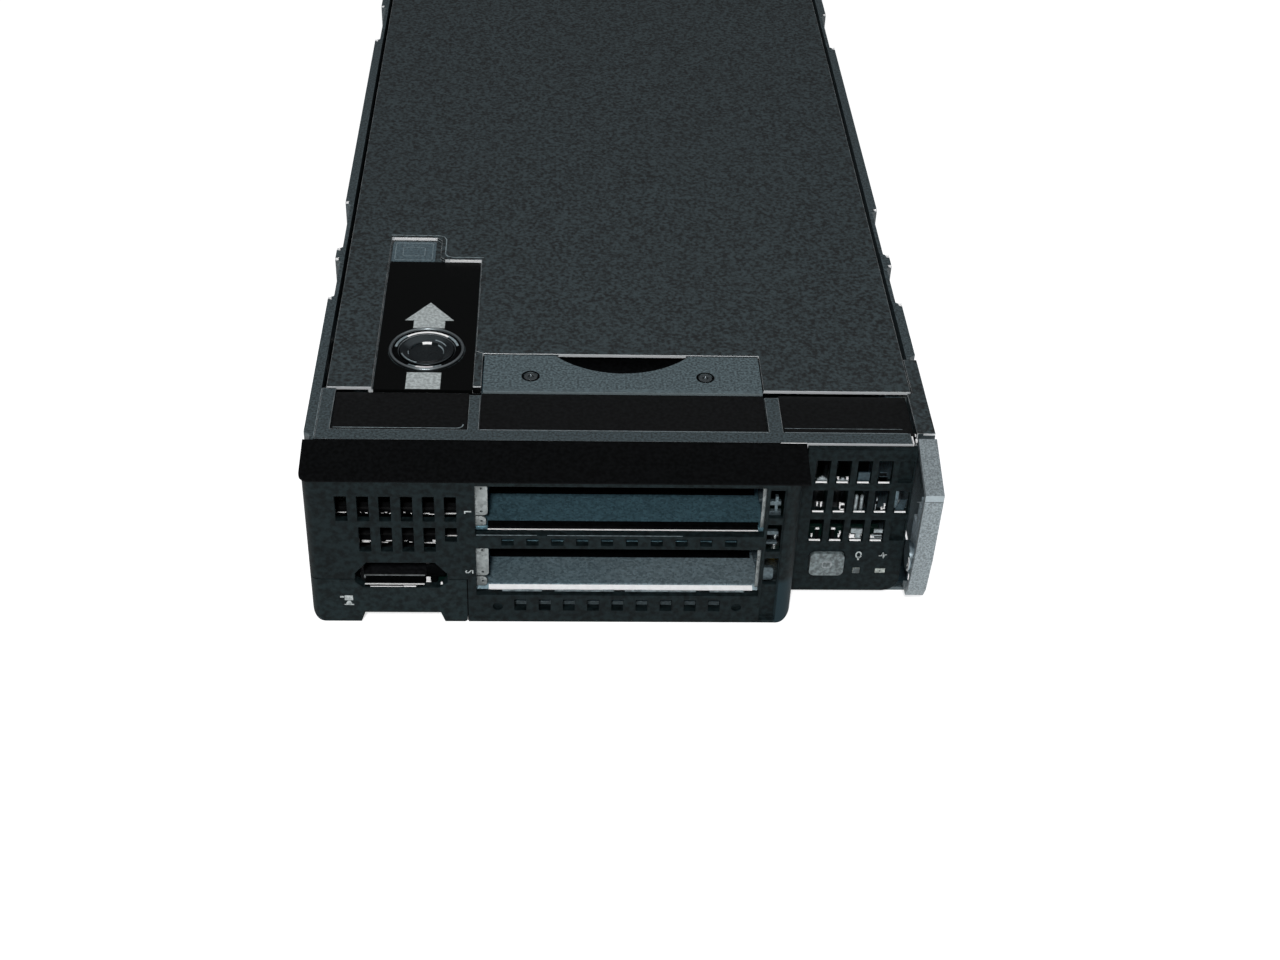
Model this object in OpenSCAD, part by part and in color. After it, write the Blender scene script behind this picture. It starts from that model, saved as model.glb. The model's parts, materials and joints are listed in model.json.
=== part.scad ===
// Half-height blade server lying on its wide side, hood up.
// X runs across the case, Y from the front to the rear, Z up.
// The origin is under the middle of the whole part; every piece is drawn in the
// front frame, where y = 0 is the face of the front bezel, and is then shifted.

/* [Case] */
// Width across the two side rails
case_w = 180.7; // [179:0.1:184]
// Depth from the nose of the lever to the rear sockets
case_d = 517.5; // [510:0.5:540]
// Height of the closed case
case_h = 55.3; // [55:0.1:57]
// Thickness of the pan's sheet steel
sheet_t = 1.2; // [1:0.1:1.5]
// How far the side rails stand proud of the side walls
rail_proud = 1.7; // [1:0.1:2.2]
// Height of the embossed side rails
rail_h = 11; // [8:0.5:14]
// Taper at each end of a side rail
rail_taper = 2.5; // [1:0.5:5]
// How far the rear sockets reach past the rear wall
rear_reach = 8; // [5:0.5:12]
// Depth of the front bezel, to the front of the bridge
bezel_d = 14.8; // [12:0.2:16]

/* [Hood] */
// Thickness of the hood's sheet
hood_t = 1; // [0.8:0.1:1.2]
// How far the hood stops short of each side of the case
hood_margin = 4.25; // [3.8:0.05:6.5]
// Front edge of the hood
hood_front = 40.7; // [40.5:0.1:44]
// Depth of the side flanges under the hood
hood_flange = 8; // [5:0.5:12]
// Number of hooks that hold the hood on each side
hook_count = 4; // [2:1:6]
// Depth of the label pocket
pocket_depth = 1; // [0.6:0.1:1.4]
// Width of the label pocket, to the left side of the bays
pocket_w = 31.3; // [29.5:0.1:34]
// Rear edge of the label pocket's wide part
pocket_rear = 112.5; // [100:0.5:120]
// Rear edge of the sticker place beside it
pocket_tip = 126; // [122:0.5:135]
// Middle of the hood button, from the pocket's left edge
button_inset = 14.9; // [13:0.1:17]
// Middle of the hood button, from the front
button_y = 61.6; // [58:0.1:70]
// Outer diameter of the button's rim
button_rim_d = 22.8; // [20:0.2:25]
// Diameter of the button's dish
button_d = 16.3; // [14:0.1:17.5]
// Travel of the hood button
button_travel = 1.5; // [1:0.1:2]

/* [Front bridge] */
// Depth of the front bar of the bridge
bridge_bar = 5; // [4:0.2:6]
// Recess of the black inserts under the frame
insert_drop = 1; // [0.6:0.1:1.2]
// Distance of the bridge frame's right end from the side of the case
bridge_margin = 7.35; // [6.5:0.05:10]
// Width of the bridge's left end
bridge_end_w = 3.9; // [3:0.1:6]
// Distance of the left bar's left edge from the bays
left_bar_gap = 2.5; // [1.8:0.1:4.2]
// Width of the bridge's left bar
left_bar_w = 3.2; // [2:0.1:3.2]
// Distance of the right bar's left edge from the bays
right_bar_gap = 1.6; // [1.6:0.1:3.4]
// Width of the bridge's right bar
right_bar_w = 4.1; // [2:0.1:5]
// Radius of the finger notch in the cage tab
notch_r = 26.7; // [20:0.1:30]
// Depth of the finger notch
notch_depth = 9.1; // [5:0.1:11]
// Spacing of the two cage screws
cage_screw_gap = 52; // [40:1:60]

/* [Front bezel] */
// How far the bezel stops short of the case's left side
bezel_inset = 0.75; // [0.35:0.05:1.3]
// Width of the bezel right of the bays
bezel_side_w = 10.2; // [9:0.1:11.4]
// Height of the sloped band over the bezel's face
band_h = 3.7; // [3.3:0.1:3.8]
// Wall of the bezel moulding
bezel_wall = 2.2; // [1.6:0.1:2.6]
// Radius of the bezel's left upright corner
corner_left_r = 3; // [1:0.5:4]
// Radius of the bezel's right upright corner
corner_right_r = 4.5; // [2:0.5:5]
// Radius of the lower corners
foot_r = 4; // [2:0.5:5]
// Width of a left vent
vent_w = 3.4; // [2.5:0.1:4]
// Height of a left vent
vent_h = 8.9; // [6:0.1:9]
// Pitch of the left vents
vent_pitch = 6.1; // [5:0.1:6.3]
// Distance of the last vent of each row from the bays
vent_margin = 8.5; // [7.8:0.1:10.2]
// Height of the bezel above the upper row of vents
vent_head = 5; // [3.7:0.1:5.6]
// Step down from the upper row to the lower row
vent_row_step = 11.1; // [10:0.1:11.5]
// Pitch of the slots in the bars under the bays
slot_pitch = 7.1; // [6:0.1:7.5]
// Width of a slot in the bars
slot_w = 3.5; // [2.5:0.1:4]
// Number of slots in the bar between the bays
mid_slots = 10; // [6:1:10]
// Number of slots in the bar under the bays
low_slots = 9; // [5:1:9]
// Height of the bars between the windows of the upright strip
strip_bar = 2.45; // [1.5:0.05:4.5]
// Width of the windows in the upright strip
strip_w = 4.1; // [3:0.1:4.6]

/* [Right panel] */
// Recess of the right panel behind the bezel's face
panel_y = 12.3; // [11:0.1:12.4]
// Thickness of the right panel
panel_t = 2.2; // [1.5:0.1:2.4]
// Gap between the right panel and the lever
panel_gap = 0.7; // [0.6:0.1:1.1]
// Lower edge of the right panel
panel_foot = 2.2; // [1.5:0.1:3]
// Width of a right vent
pvent_w = 4.2; // [3:0.1:4.4]
// Height of a right vent
pvent_h = 7.9; // [6:0.1:8.2]
// Sideways pitch of the right vents
pvent_pitch = 6.03; // [5.5:0.01:6.05]
// Upright pitch of the right vents
pvent_rise = 10.8; // [9:0.1:10.9]
// Width of the power button
power_w = 10.8; // [8:0.1:12]
// Height of the power button
power_h = 9; // [7:0.1:10]
// Travel of the power button
power_travel = 1.2; // [0.8:0.1:1.5]

/* [Drive bays] */
// Clear width of a drive bay
bay_w = 82.3; // [78:0.1:82.6]
// Clear height of a drive bay
bay_h = 16.5; // [15:0.1:16.8]
// Height of the bezel above the upper bay
bay_head = 1.1; // [1:0.1:1.6]
// Step from the lower bay to the upper bay
bay_step = 22.5; // [21:0.1:22.7]
// Middle of the bays across the case
bay_x = -0.55; // [-0.8:0.05:-0.3]
// Depth of the drive cage
cage_d = 101; // [90:1:104]
// Sheet thickness of the drive cage
cage_t = 0.8; // [0.6:0.1:0.8]
// Set-back of the cage behind the bezel's face
cage_front = 2.6; // [2.6:0.1:3.5]
// How far the bezel is cut down in front of each bay's floor
bay_sill = 1.2; // [1:0.1:1.2]

/* [Pull tab] */
// Distance of the pull tab from the bays
tab_gap = 2.7; // [2.3:0.1:4.3]
// Height of the pull tab
tab_h = 16; // [15:0.1:16.5]
// Length of card that stays in the tray when the tab is pulled out
tab_hold = 12; // [8:1:20]
// How far the card behind the pull tab stops short of each end of the tab
tab_card_margin = 5.6; // [4.6:0.1:10]
// How far the pull tab slides out
tab_travel = 62; // [40:1:70]
// Height of the notch under the pull tab
tab_notch = 3.5; // [2:0.1:4]
// Length of the finger opening
port_w = 26.6; // [20:0.1:28]
// Upper edge of the finger opening
port_top = 22.5; // [21:0.1:24]

/* [Lever] */
// How far the nose of the lever stands out of the bezel's face
lever_proud = 1.5; // [0.5:0.1:3]
// Width of the lever, from the case's outer side inwards
lever_w = 5.35; // [4.5:0.05:5.6]
// Thickness of the lever's skin
lever_t = 1.8; // [1.2:0.1:2.2]
// Lower end of the lever
lever_foot = 7.5; // [6:0.1:10]
// Drop from the top of the case to the nose of the lever
lever_drop = 5.8; // [4.3:0.1:8.3]
// Distance of the lever's pivot from the bezel's face
pivot_y = 46; // [42:0.5:48]
// Radius of the pivot pin
pin_r = 1.5; // [1:0.1:1.8]

/* [System board] */
// Height of the standoffs over the pan's floor
standoff_h = 3.8; // [3:0.1:5]
// Thickness of the circuit boards
board_t = 1.6; // [1.2:0.1:2]
// Front edge of the system board
board_front = 111; // [110:0.5:114]
// Gap between the system board and each side wall
board_margin = 2.45; // [1:0.05:5]
// Rear edge of the system board, short of the rear wall
board_rear_gap = 6; // [4:0.5:10]
// Side of a processor socket
socket_w = 50; // [42:1:56]
// Height of a processor socket
socket_h = 4; // [3:0.2:6]
// Width of a heatsink
sink_w = 82; // [70:1:84]
// Length of a heatsink
sink_l = 106; // [90:1:120]
// Top of the heatsinks over the board
sink_h = 42; // [36:0.5:43]
// Pitch of the heatsink's fins
fin_pitch = 2.6; // [2.2:0.1:5]
// Thickness of a heatsink fin
fin_t = 0.8; // [0.5:0.1:1]

/* [Memory] */
// Pitch of the memory slots
dimm_pitch = 9.4; // [8:0.1:9.6]
// How far a memory slot reaches past each end of its module
slot_end = 4.3; // [3.9:0.1:5.3]
// Height of a memory slot's body
dimm_slot_h = 8; // [6:0.5:9]
// Length of a memory module
dimm_l = 133.4; // [132:0.1:134]
// Height of a memory module
dimm_h = 30.4; // [26:0.1:31]
// Thickness of a memory module's board
dimm_t = 1.3; // [1:0.1:1.5]
// Space between the memory of the two processors
bank_gap = 24; // [23:0.5:26]

/* [Rear] */
// Bore radius of the rear guide sockets
guide_r = 3; // [2:0.1:3.6]
// Depth of the rear guide sockets' bores
guide_depth = 20; // [12:1:24]
// Spacing of the rear guide sockets
guide_gap = 92; // [88:1:96]
// Diameter of a vent hole in the rear wall
rear_hole_d = 4.2; // [3:0.1:4.6]
// Pitch of the vent holes in the rear wall
rear_pitch = 6; // [5.6:0.1:8]

/* [Clearances] */
// Gap between pieces that slide past each other
slide_gap = 0.3; // [0.2:0.05:0.4]
// Radial running clearance of a pin in its bore
run_gap = 0.06; // [0.03:0.01:0.1]
// Gap between a piece and the opening that it stands in
edge_gap = 0.3; // [0.2:0.05:0.5]

/* [Hidden] */
$fn = 48;

// A hair that lets a cut pass through the face it opens
cut = 0.5;

// Places in the front frame
front_y = -case_d / 2 + lever_proud;
back_y = case_d - lever_proud;
pan_back = back_y - rear_reach;
case_hw = case_w / 2;
wall_out = case_hw - rail_proud;
wall_in = wall_out - sheet_t;
lever_in = case_hw - lever_w;
bay_left = bay_x - bay_w / 2;
bay_right = bay_x + bay_w / 2;
bezel_left = -case_hw + bezel_inset;
bezel_right = bay_right + bezel_side_w;
bezel_top = case_h - band_h;
bay_low_z = bezel_top - bay_head - bay_h - bay_step;

// ---------- helpers ----------

module block(low, high) {
    translate(low) cube(high - low);
}

// Extrudes an outline drawn in X and Z from y = y0 to y = y1
module upright(y0, y1) {
    translate([0, y1, 0]) rotate([90, 0, 0]) linear_extrude(y1 - y0) children();
}

// Extrudes an outline drawn in Y and Z from x = x0 to x = x1
module sideways(x0, x1) {
    translate([x0, 0, 0]) rotate([90, 0, 90]) linear_extrude(x1 - x0) children();
}

// Extrudes an outline drawn in X and Y from z = z0 to z = z1
module flat(z0, z1) {
    translate([0, 0, z0]) linear_extrude(z1 - z0) children();
}

module rect(low, high) {
    translate(low) square(high - low);
}

// Takes one corner of a rectangle away and leaves a radius; toward is [+-1, +-1]
module corner_cut(corner, toward, r) {
    difference() {
        translate(corner + [min(0, toward.x), min(0, toward.y)] * r) square(r);
        translate(corner + toward * r) circle(r);
    }
}

// Rectangle with a radius for each corner: low left, low right, top right, top left
module soft_rect(low, high, r) {
    difference() {
        rect(low, high);
        if (r[0] > 0) corner_cut(low, [1, 1], r[0]);
        if (r[1] > 0) corner_cut([high.x, low.y], [-1, 1], r[1]);
        if (r[2] > 0) corner_cut(high, [-1, -1], r[2]);
        if (r[3] > 0) corner_cut([low.x, high.y], [1, -1], r[3]);
    }
}

// A screw head with a round recess, standing on z = 0
module screw_head(d, h) {
    difference() {
        cylinder(h = h, d = d);
        translate([0, 0, h / 2]) cylinder(h = h, d = d * 0.45);
    }
}

// A round wire wound into a coil along Z, from z = 0 to z = height
function coil_ring(r, wire, a, z, sides) =
    [for (s = [0 : sides - 1]) let (b = 360 * s / sides, q = r + wire * cos(b))
        [q * cos(a), q * sin(a), z + wire * sin(b)]];

module coil(r, wire, height, turns, per_turn = 14, sides = 6) {
    rings = turns * per_turn;
    points = [for (i = [0 : rings])
        each coil_ring(r, wire, 360 * i / per_turn, wire + (height - 2 * wire) * i / rings, sides)];
    quads = [for (i = [0 : rings - 1]) for (s = [0 : sides - 1])
        [i * sides + s, i * sides + (s + 1) % sides, (i + 1) * sides + (s + 1) % sides,
            (i + 1) * sides + s]];
    start = [for (s = [sides - 1 : -1 : 0]) s];
    end = [for (s = [0 : sides - 1]) rings * sides + s];
    polyhedron(points, concat([start], quads, [end]), convexity = 8);
}

// ---------- case ----------

hood_hw = case_hw - hood_margin;
bridge_right = case_hw - bridge_margin;
left_bar_x = bay_left - left_bar_gap;
right_bar_x = bay_right + right_bar_gap;

// Levels of the top: underside of the hood, floor of its pocket
hood_low = case_h - hood_t;
pocket_floor = case_h - pocket_depth;
tray_low = pocket_floor - hood_t;
wall_top = case_h - 0.4;

// The bridge stands behind the bezel, with a hair of room
joint_gap = 0.2;
bridge_y = bezel_d + joint_gap;
bridge_rear = hood_front - 0.7;
cage_tab_y = bridge_rear - 0.5;

// The right wall starts behind the lever's channel
tail = 4;
channel_rear = pivot_y + tail + 6;
wall_start = channel_rear + 2;

// Stretches of embossed rail along each side
rail_end = pan_back - 5;
rail_first = 146;
rail_l = 132;
rail_step = 159;
rail_count = ceil((rail_end - rail_first) / rail_step);
rail_runs = concat([[bridge_y + 1, 91], [109.5, 120.5]], [for (i = [0 : rail_count - 1])
    [rail_first + i * rail_step, min(rail_first + i * rail_step + rail_l, rail_end)]]);

module side_rail(y0, y1, z0, z1) {
    flat(z0, z1) polygon([[wall_in, y0], [case_hw, y0 + rail_taper],
        [case_hw, y1 - rail_taper], [wall_in, y1]]);
}

// Hooks under the hood's flanges and the catches that hold them down
hook_z = hood_low - hood_flange;
hook_l = 8;
hook_t = 1.2;
hook_first = wall_start + 20;
hook_step = (pan_back - hook_first - 30) / (hook_count - 1);
hook_starts = [for (i = [0 : hook_count - 1]) hook_first + i * hook_step];

module side_wall(start) {
    block([wall_in, start, 0], [wall_out, pan_back, wall_top]);
    for (run = rail_runs) {
        side_rail(max(run[0], start), run[1], case_h - rail_h, case_h);
        side_rail(max(run[0], start), run[1], 0, rail_h);
    }
    for (y = hook_starts)
        block([hood_hw + slide_gap, y, hook_z + hook_t + slide_gap],
            [wall_in + cut, y + hook_l, hook_z + 2 * hook_t + slide_gap]);
}

module base_pan() {
    color("#59646c") {
        block([-wall_out, bridge_y, 0], [wall_out, pan_back, sheet_t]);
        side_wall(wall_start);
        mirror([1, 0, 0]) side_wall(bridge_y);
        front_tongue();
    }
}

// Front edge of the pan, stepped up over the floor of the bezel
module front_tongue() {
    low = bezel_wall + joint_gap;
    front = 5;
    reach = bezel_wall + edge_gap;
    sideways(tab_right + 2 * reach, bezel_right - reach) polygon([[front, low], [front, low + sheet_t],
        [bridge_y + sheet_t, low + sheet_t], [bridge_y + sheet_t, sheet_t / 2],
        [bridge_y, sheet_t / 2], [bridge_y, low]]);
}

module hood_outline() {
    difference() {
        rect([-hood_hw, hood_front], [hood_hw, pan_back]);
        rect([notch_left, hood_front - cut], [notch_right, notch_rear]);
    }
}

// The pocket narrows behind the label, round the place for a sticker
tip_w = 16.4;
tip_chamfer = 1.6;
pocket_left = bay_left - pocket_w;
pocket_right = left_bar_x + 1;
notch_left = left_bar_x + left_bar_w;
notch_right = right_bar_x + 0.1;
notch_rear = hood_front + 18.1;

module pocket_outline(grow) {
    tip_right = pocket_left + tip_w;
    soft = grow * 0.4;
    polygon([
        [pocket_left - grow, hood_front],
        [pocket_left - grow, pocket_tip + grow],
        [tip_right - tip_chamfer + soft, pocket_tip + grow],
        [tip_right + grow, pocket_tip - tip_chamfer + soft],
        [tip_right + grow, pocket_rear + tip_chamfer + soft],
        [tip_right + tip_chamfer + soft, pocket_rear + grow],
        [pocket_right + grow, pocket_rear + grow],
        [pocket_right + grow, notch_rear + 1.2],
        [notch_left, notch_rear],
        [notch_left, hood_front]]);
}

module hood_side() {
    block([hood_hw - hood_t, wall_start + 2, hood_low - hood_flange],
        [hood_hw, pan_back - 6, hood_low + hood_t / 2]);
    for (y = hook_starts)
        block([hood_hw - hood_t, y, hook_z], [wall_in - slide_gap, y + hook_l, hook_z + hook_t]);
}

module hood() {
    color("#38434d") difference() {
        union() {
            flat(hood_low, case_h) difference() {
                hood_outline();
                pocket_outline(0);
            }
            flat(tray_low, pocket_floor) pocket_outline(hood_t);
            flat(tray_low, case_h) difference() {
                pocket_outline(hood_t);
                pocket_outline(0);
            }
            hood_side();
            mirror([1, 0, 0]) hood_side();
        }
        translate([button_x, button_y, tray_low - cut])
            cylinder(h = hood_t + 2 * cut, r = collar_r);
    }
}

// ---------- hood button ----------

button_x = pocket_left + button_inset;

// Collar of the rim, through the pocket's floor, and the bore that guides the button
guide_bore = button_d / 2 + edge_gap;
collar_r = guide_bore + 1.1;
cup_floor = tray_low - 8.3;
cup_t = 1.2;
button_low = tray_low - 2.8;

module at_button() {
    translate([button_x, button_y, 0]) children();
}

// Rim with a round bead outside and a slope down to the button
module button_rim() {
    rim = button_rim_d / 2;
    bead = 0.5;
    color("#9aa0a4") at_button() rotate_extrude() {
        polygon([[guide_bore, tray_low], [collar_r - joint_gap / 2, tray_low],
            [collar_r - joint_gap / 2, pocket_floor], [rim, pocket_floor], [rim, case_h - bead],
            [rim - 2 * bead, case_h - bead], [guide_bore + 0.3, case_h - 0.8], [guide_bore, case_h - 0.95]]);
        translate([rim - bead, case_h - bead]) circle(r = bead, $fn = 16);
    }
}

// Dished button with a skirt, a recessed middle and a stem
module hood_button() {
    dish = button_d / 2;
    well = 0.65 * dish;
    stem = 2.2;
    top = case_h - 0.5;
    color("#8a9094") at_button() rotate_extrude() polygon([
        [0, cup_floor + cup_t + button_travel + 0.6], [stem, cup_floor + cup_t + button_travel + 0.6],
        [stem, button_low + 1], [dish - 1.2, button_low + 1], [dish - 1.2, button_low],
        [dish, button_low], [dish, top - 0.15], [dish - 0.3, top], [dish - 0.7, top - 0.05],
        [well + 0.4, top - 0.9], [well, top - 0.95], [well - 0.2, top - 1.5], [0, top - 1.5]]);
}

module button_spring() {
    color("#b5b9bb") at_button() {
        base = cup_floor + cup_t + button_travel + 0.2;
        translate([0, 0, base]) coil(dish_spring_r, 0.35, button_low + 0.9 - base, 3);
    }
}
dish_spring_r = button_d / 2 - 2.4;

// Cup under the pocket that holds the spring
module button_cup() {
    outer = collar_r + 1.4;
    color("#2f3437") at_button() difference() {
        translate([0, 0, cup_floor]) cylinder(h = tray_low - cup_floor, r = outer);
        translate([0, 0, cup_floor + cup_t]) cylinder(h = tray_low, r = guide_bore);
    }
}

// ---------- front bridge ----------

bridge_low = case_h - insert_drop - 2;
bridge_floor = bridge_low + 1;
insert_left = -wall_in + bridge_end_w + edge_gap;

module front_bridge() {
    bar_rear = bridge_rear - 3;
    color("#5b676f") {
        flat(bridge_low, case_h) {
            rect([-wall_in + edge_gap, bridge_y], [bridge_right, bridge_y + bridge_bar]);
            rect([-wall_in + edge_gap, bridge_y], [insert_left, bridge_rear]);
            rect([left_bar_x, bridge_y], [left_bar_x + left_bar_w, bar_rear]);
            rect([right_bar_x, bridge_y], [right_bar_x + right_bar_w, bar_rear]);
        }
        flat(bridge_low, bridge_floor)
            rect([-wall_in + edge_gap, bridge_y], [bridge_right, bridge_rear]);
        block([-wall_in, bridge_y, bridge_low - 8], [-wall_in + sheet_t, bridge_rear, bridge_floor]);
    }
}

module bridge_inserts() {
    gap = joint_gap;
    runs = [[insert_left, left_bar_x], [left_bar_x + left_bar_w, right_bar_x],
        [right_bar_x + right_bar_w, bridge_right + 1.5]];
    color("#15181b") for (run = runs)
        flat(bridge_floor, case_h - insert_drop)
            rect([run[0] + gap, bridge_y + bridge_bar + gap], [run[1] - gap, cage_tab_y - gap]);
}

// Corner over the lever's channel, at the level of the hood
module corner_bracket() {
    low = lever_arm_top + 2 * slide_gap;
    color("#39444d") {
        flat(low, case_h) {
            rect([bridge_right + 2, bridge_y + bridge_bar], [case_hw, bridge_rear]);
            rect([hood_hw + edge_gap, bridge_y + bridge_bar], [case_hw, wall_start - edge_gap]);
        }
        block([hood_hw + edge_gap, pivot_y + tail + 2.4, bracket_top],
            [wall_out, channel_rear, low + cut]);
    }
}

// Tab of the drive cage in the hood's notch, with a finger notch
module cage_tab() {
    top = case_h - 0.3;
    plate_t = 1;
    left = notch_left + 0.5;
    right = notch_right - 0.3;
    front = cage_tab_y;
    rear = notch_rear - 0.4;
    leg_w = 8;
    color("#5a6770") {
        difference() {
            flat(top - plate_t, top) rect([left, front], [right, rear]);
            translate([(left + right) / 2, rear - notch_depth + notch_r, 0])
                cylinder(h = case_h + cut, r = notch_r);
            for (side = [-1, 1]) translate([bay_x + side * cage_screw_gap / 2, tab_screw_y, 0])
                cylinder(h = case_h + cut, r = tab_screw_r + joint_gap);
        }
        for (x = [left, right - leg_w]) {
            block([x, rear - plate_t, cage_top], [x + leg_w, rear, top - plate_t / 2]);
            block([x, rear - plate_t, cage_top], [x + leg_w, rear + 7, cage_top + cage_t]);
        }
    }
}
tab_screw_y = hood_front + 6.8;
tab_screw_r = 2;

module cage_screws() {
    color("#c8ccce") for (side = [-1, 1])
        translate([bay_x + side * cage_screw_gap / 2, tab_screw_y, cage_top]) {
            cylinder(h = case_h - 1.3 - cage_top, r = 1.4);
            translate([0, 0, case_h - 1.3 - cage_top]) screw_head(2 * tab_screw_r, 0.9);
        }
}

// ---------- drive bays ----------

bay_floors = [bay_low_z, bay_low_z + bay_step];
cage_low = bay_low_z - cage_t;
cage_top = bay_floors[1] + bay_h + cage_t;
cage_end = cage_front + cage_d;

// Side plates with windows and a runner for each drive
module cage_sides() {
    rib = 1.1;
    rib_z = 6;
    window = [22, 8];
    color("#8b959b") {
        difference() {
            union() for (x = [bay_left - cage_t, bay_right])
                block([x, cage_front, cage_low], [x + cage_t, cage_end, cage_top]);
            for (z = bay_floors) for (i = [0 : 2])
                translate([bay_left - 2 * cage_t, cage_front + 12 + i * 28, z + 7.5])
                    cube([bay_w + 4 * cage_t, window.x, window.y]);
        }
        for (z = bay_floors) for (x = [bay_left, bay_right - rib])
            block([x, cage_front + 6, z + rib_z - rib], [x + rib, cage_end - 8, z + rib_z]);
        upright(cage_front, cage_front + 1.2) strip_clips();
    }
}

// Clips folded from the right side plate, one behind each open window of the upright strip
module strip_clips() {
    root = bay_right + cage_t - 0.1;
    foot = [for (i = [1 : 3]) strip_foot + i * strip_pitch];
    stem = strip_x + 1.7;
    rect([root, foot[2] - 0.4], [strip_x + 3.6, foot[2] + 1.2]);
    rect([stem, foot[2]], [stem + 0.9, foot[2] + 6.4]);
    rect([root, foot[2] + 3.3], [strip_x + 3.4, foot[2] + 4.7]);
    soft_rect([root, foot[1] + 4.9], [strip_x + 3.5, foot[1] + 6.2], [0, 0.5, 0.5, 0]);
    rect([root, foot[1] + 1.4], [strip_x + 3.3, foot[1] + 2.2]);
    soft_rect([root, foot[0] + 0.2], [strip_x + 3.2, foot[0] + 4.9], [0, 1, 1, 0]);
}

// Floor and roof plates of both bays; the floors are turned down over the bezel's sill, the
// lower one in a wide bend and the upper one in a tight bend with a toe
module cage_decks() {
    bends = [1.5, 0.5];
    color("#8b959b") for (i = [0, 1]) {
        z = bay_floors[i];
        low = z - bay_sill;
        block([bay_left, cage_front, z + bay_h], [bay_right, cage_end, z + bay_h + cage_t]);
        sideways(bay_left, bay_right) polygon([[cage_front, low], [cage_front, low + 0.3],
            [cage_front + bends[i] - 0.3, z - 0.15], [cage_front + bends[i], z], [cage_end, z],
            [cage_end, z - cage_t], [cage_front + bends[i] + 0.4, z - cage_t],
            [cage_front + 0.6, low]]);
    }
}

// Contact fingers inside the left edge of each bay, and the turned edge on the right
module bay_springs() {
    leaf_w = 3.6;
    leaf_t = 0.5;
    foot_h = 3.4;
    split = 0.5;
    right_w = 0.9;
    front = cage_front + 0.3;
    color("#b8bfc2") upright(front, front + leaf_t) for (z = bay_floors) {
        top = z + bay_h - 1.5;
        difference() {
            union() {
                soft_rect([bay_left, z], [bay_left + leaf_w - 0.5, z + foot_h], [0, 1, 1.4, 0]);
                soft_rect([bay_left, z + foot_h + split], [bay_left + leaf_w, top], [0, 1.2, 1.5, 0]);
            }
            for (rise = [foot_h / 2, foot_h + split + 1.3, top - z - 1.6])
                translate([bay_left + leaf_w / 2, z + rise]) circle(r = 0.35);
        }
        rect([bay_right - right_w, z], [bay_right, top]);
    }
}

module drive_backplane() {
    side = 3;
    color("#2f5a45") difference() {
        block([bay_left - side, cage_end, cage_low - 2],
            [bay_right + side, cage_end + board_t, cage_top - 1]);
        for (i = [-2 : 2]) translate([bay_x + i * 13, cage_end - cut, bay_low_z + bay_h + 0.9])
            cube([8, board_t + 2 * cut, bay_step - bay_h - 1.8]);
    }
}

// Two drive sockets with a blind mouth each
module drive_connectors() {
    long = 36;
    high = 6;
    deep = 8;
    color("#1d2022") for (z = bay_floors)
        translate([bay_x - long / 2, cage_end - deep, z + 3]) difference() {
            cube([long, deep, high]);
            translate([1.5, -cut, 1.5]) cube([long - 3, deep - 2, high - 3]);
        }
}

// ---------- front bezel ----------

strip_x = bay_right + 1;
strip_foot = 1.8;
strip_windows = 4;
strip_pitch = (bezel_top - strip_foot) / strip_windows;
strip_h = strip_pitch - strip_bar;
low_slot_h = 4.3;
low_slot_z = (bay_low_z + 1.5) / 2;
mid_slot_h = 2.6;
mid_slot_z = (bay_low_z + bay_h + bay_floors[1]) / 2 - 0.6;
tab_right = bay_left - tab_gap;
vent_last = bay_left - vent_margin;
vent_count = floor((vent_last - bezel_left - bezel_wall - 2) / vent_pitch) + 1;
vent_row_z = bezel_top - vent_head - vent_h;
port_right = bay_left - 8.2;
port_low = tab_h - 3;
port_chamfer = 3.5;

module bezel_outline() {
    difference() {
        soft_rect([bezel_left, 0], [bezel_right, bezel_top], [0, foot_r, 0, 0]);
        rect([bezel_left - cut, -cut], [tab_right + edge_gap, tab_h + edge_gap]);
    }
}

// Rounded plan of the bezel, seen from above
module bezel_plan() {
    soft_rect([bezel_left, 0], [bezel_right, bezel_d], [corner_left_r, corner_right_r, 0, 0]);
}

// Six-sided finger opening over the service connector
module port_outline() {
    left = port_right - port_w;
    polygon([[left, port_low + 2], [left + 2.3, port_low], [port_right - 2.4, port_low],
        [port_right, port_low + 2], [port_right, port_top - port_chamfer - 0.7],
        [port_right - port_chamfer, port_top], [left + port_chamfer, port_top],
        [left, port_top - port_chamfer - 0.7]]);
}

// Vents of the left side: a full row, and under it a row with a short last vent
module left_vents() {
    for (i = [0 : vent_count - 1])
        translate([vent_last - i * vent_pitch, vent_row_z]) square([vent_w, vent_h]);
    for (i = [0 : vent_count - 2]) {
        short = i == 0 ? 3.8 : 0;
        translate([vent_last - i * vent_pitch, vent_row_z - vent_row_step + short])
            square([vent_w, vent_h - short]);
    }
}

module bar_slots(count, z, height) {
    for (i = [0 : count - 1])
        translate([bay_x + (i - (count - 1) / 2) * slot_pitch - slot_w / 2, z - height / 2])
            square([slot_w, height]);
}

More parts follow.
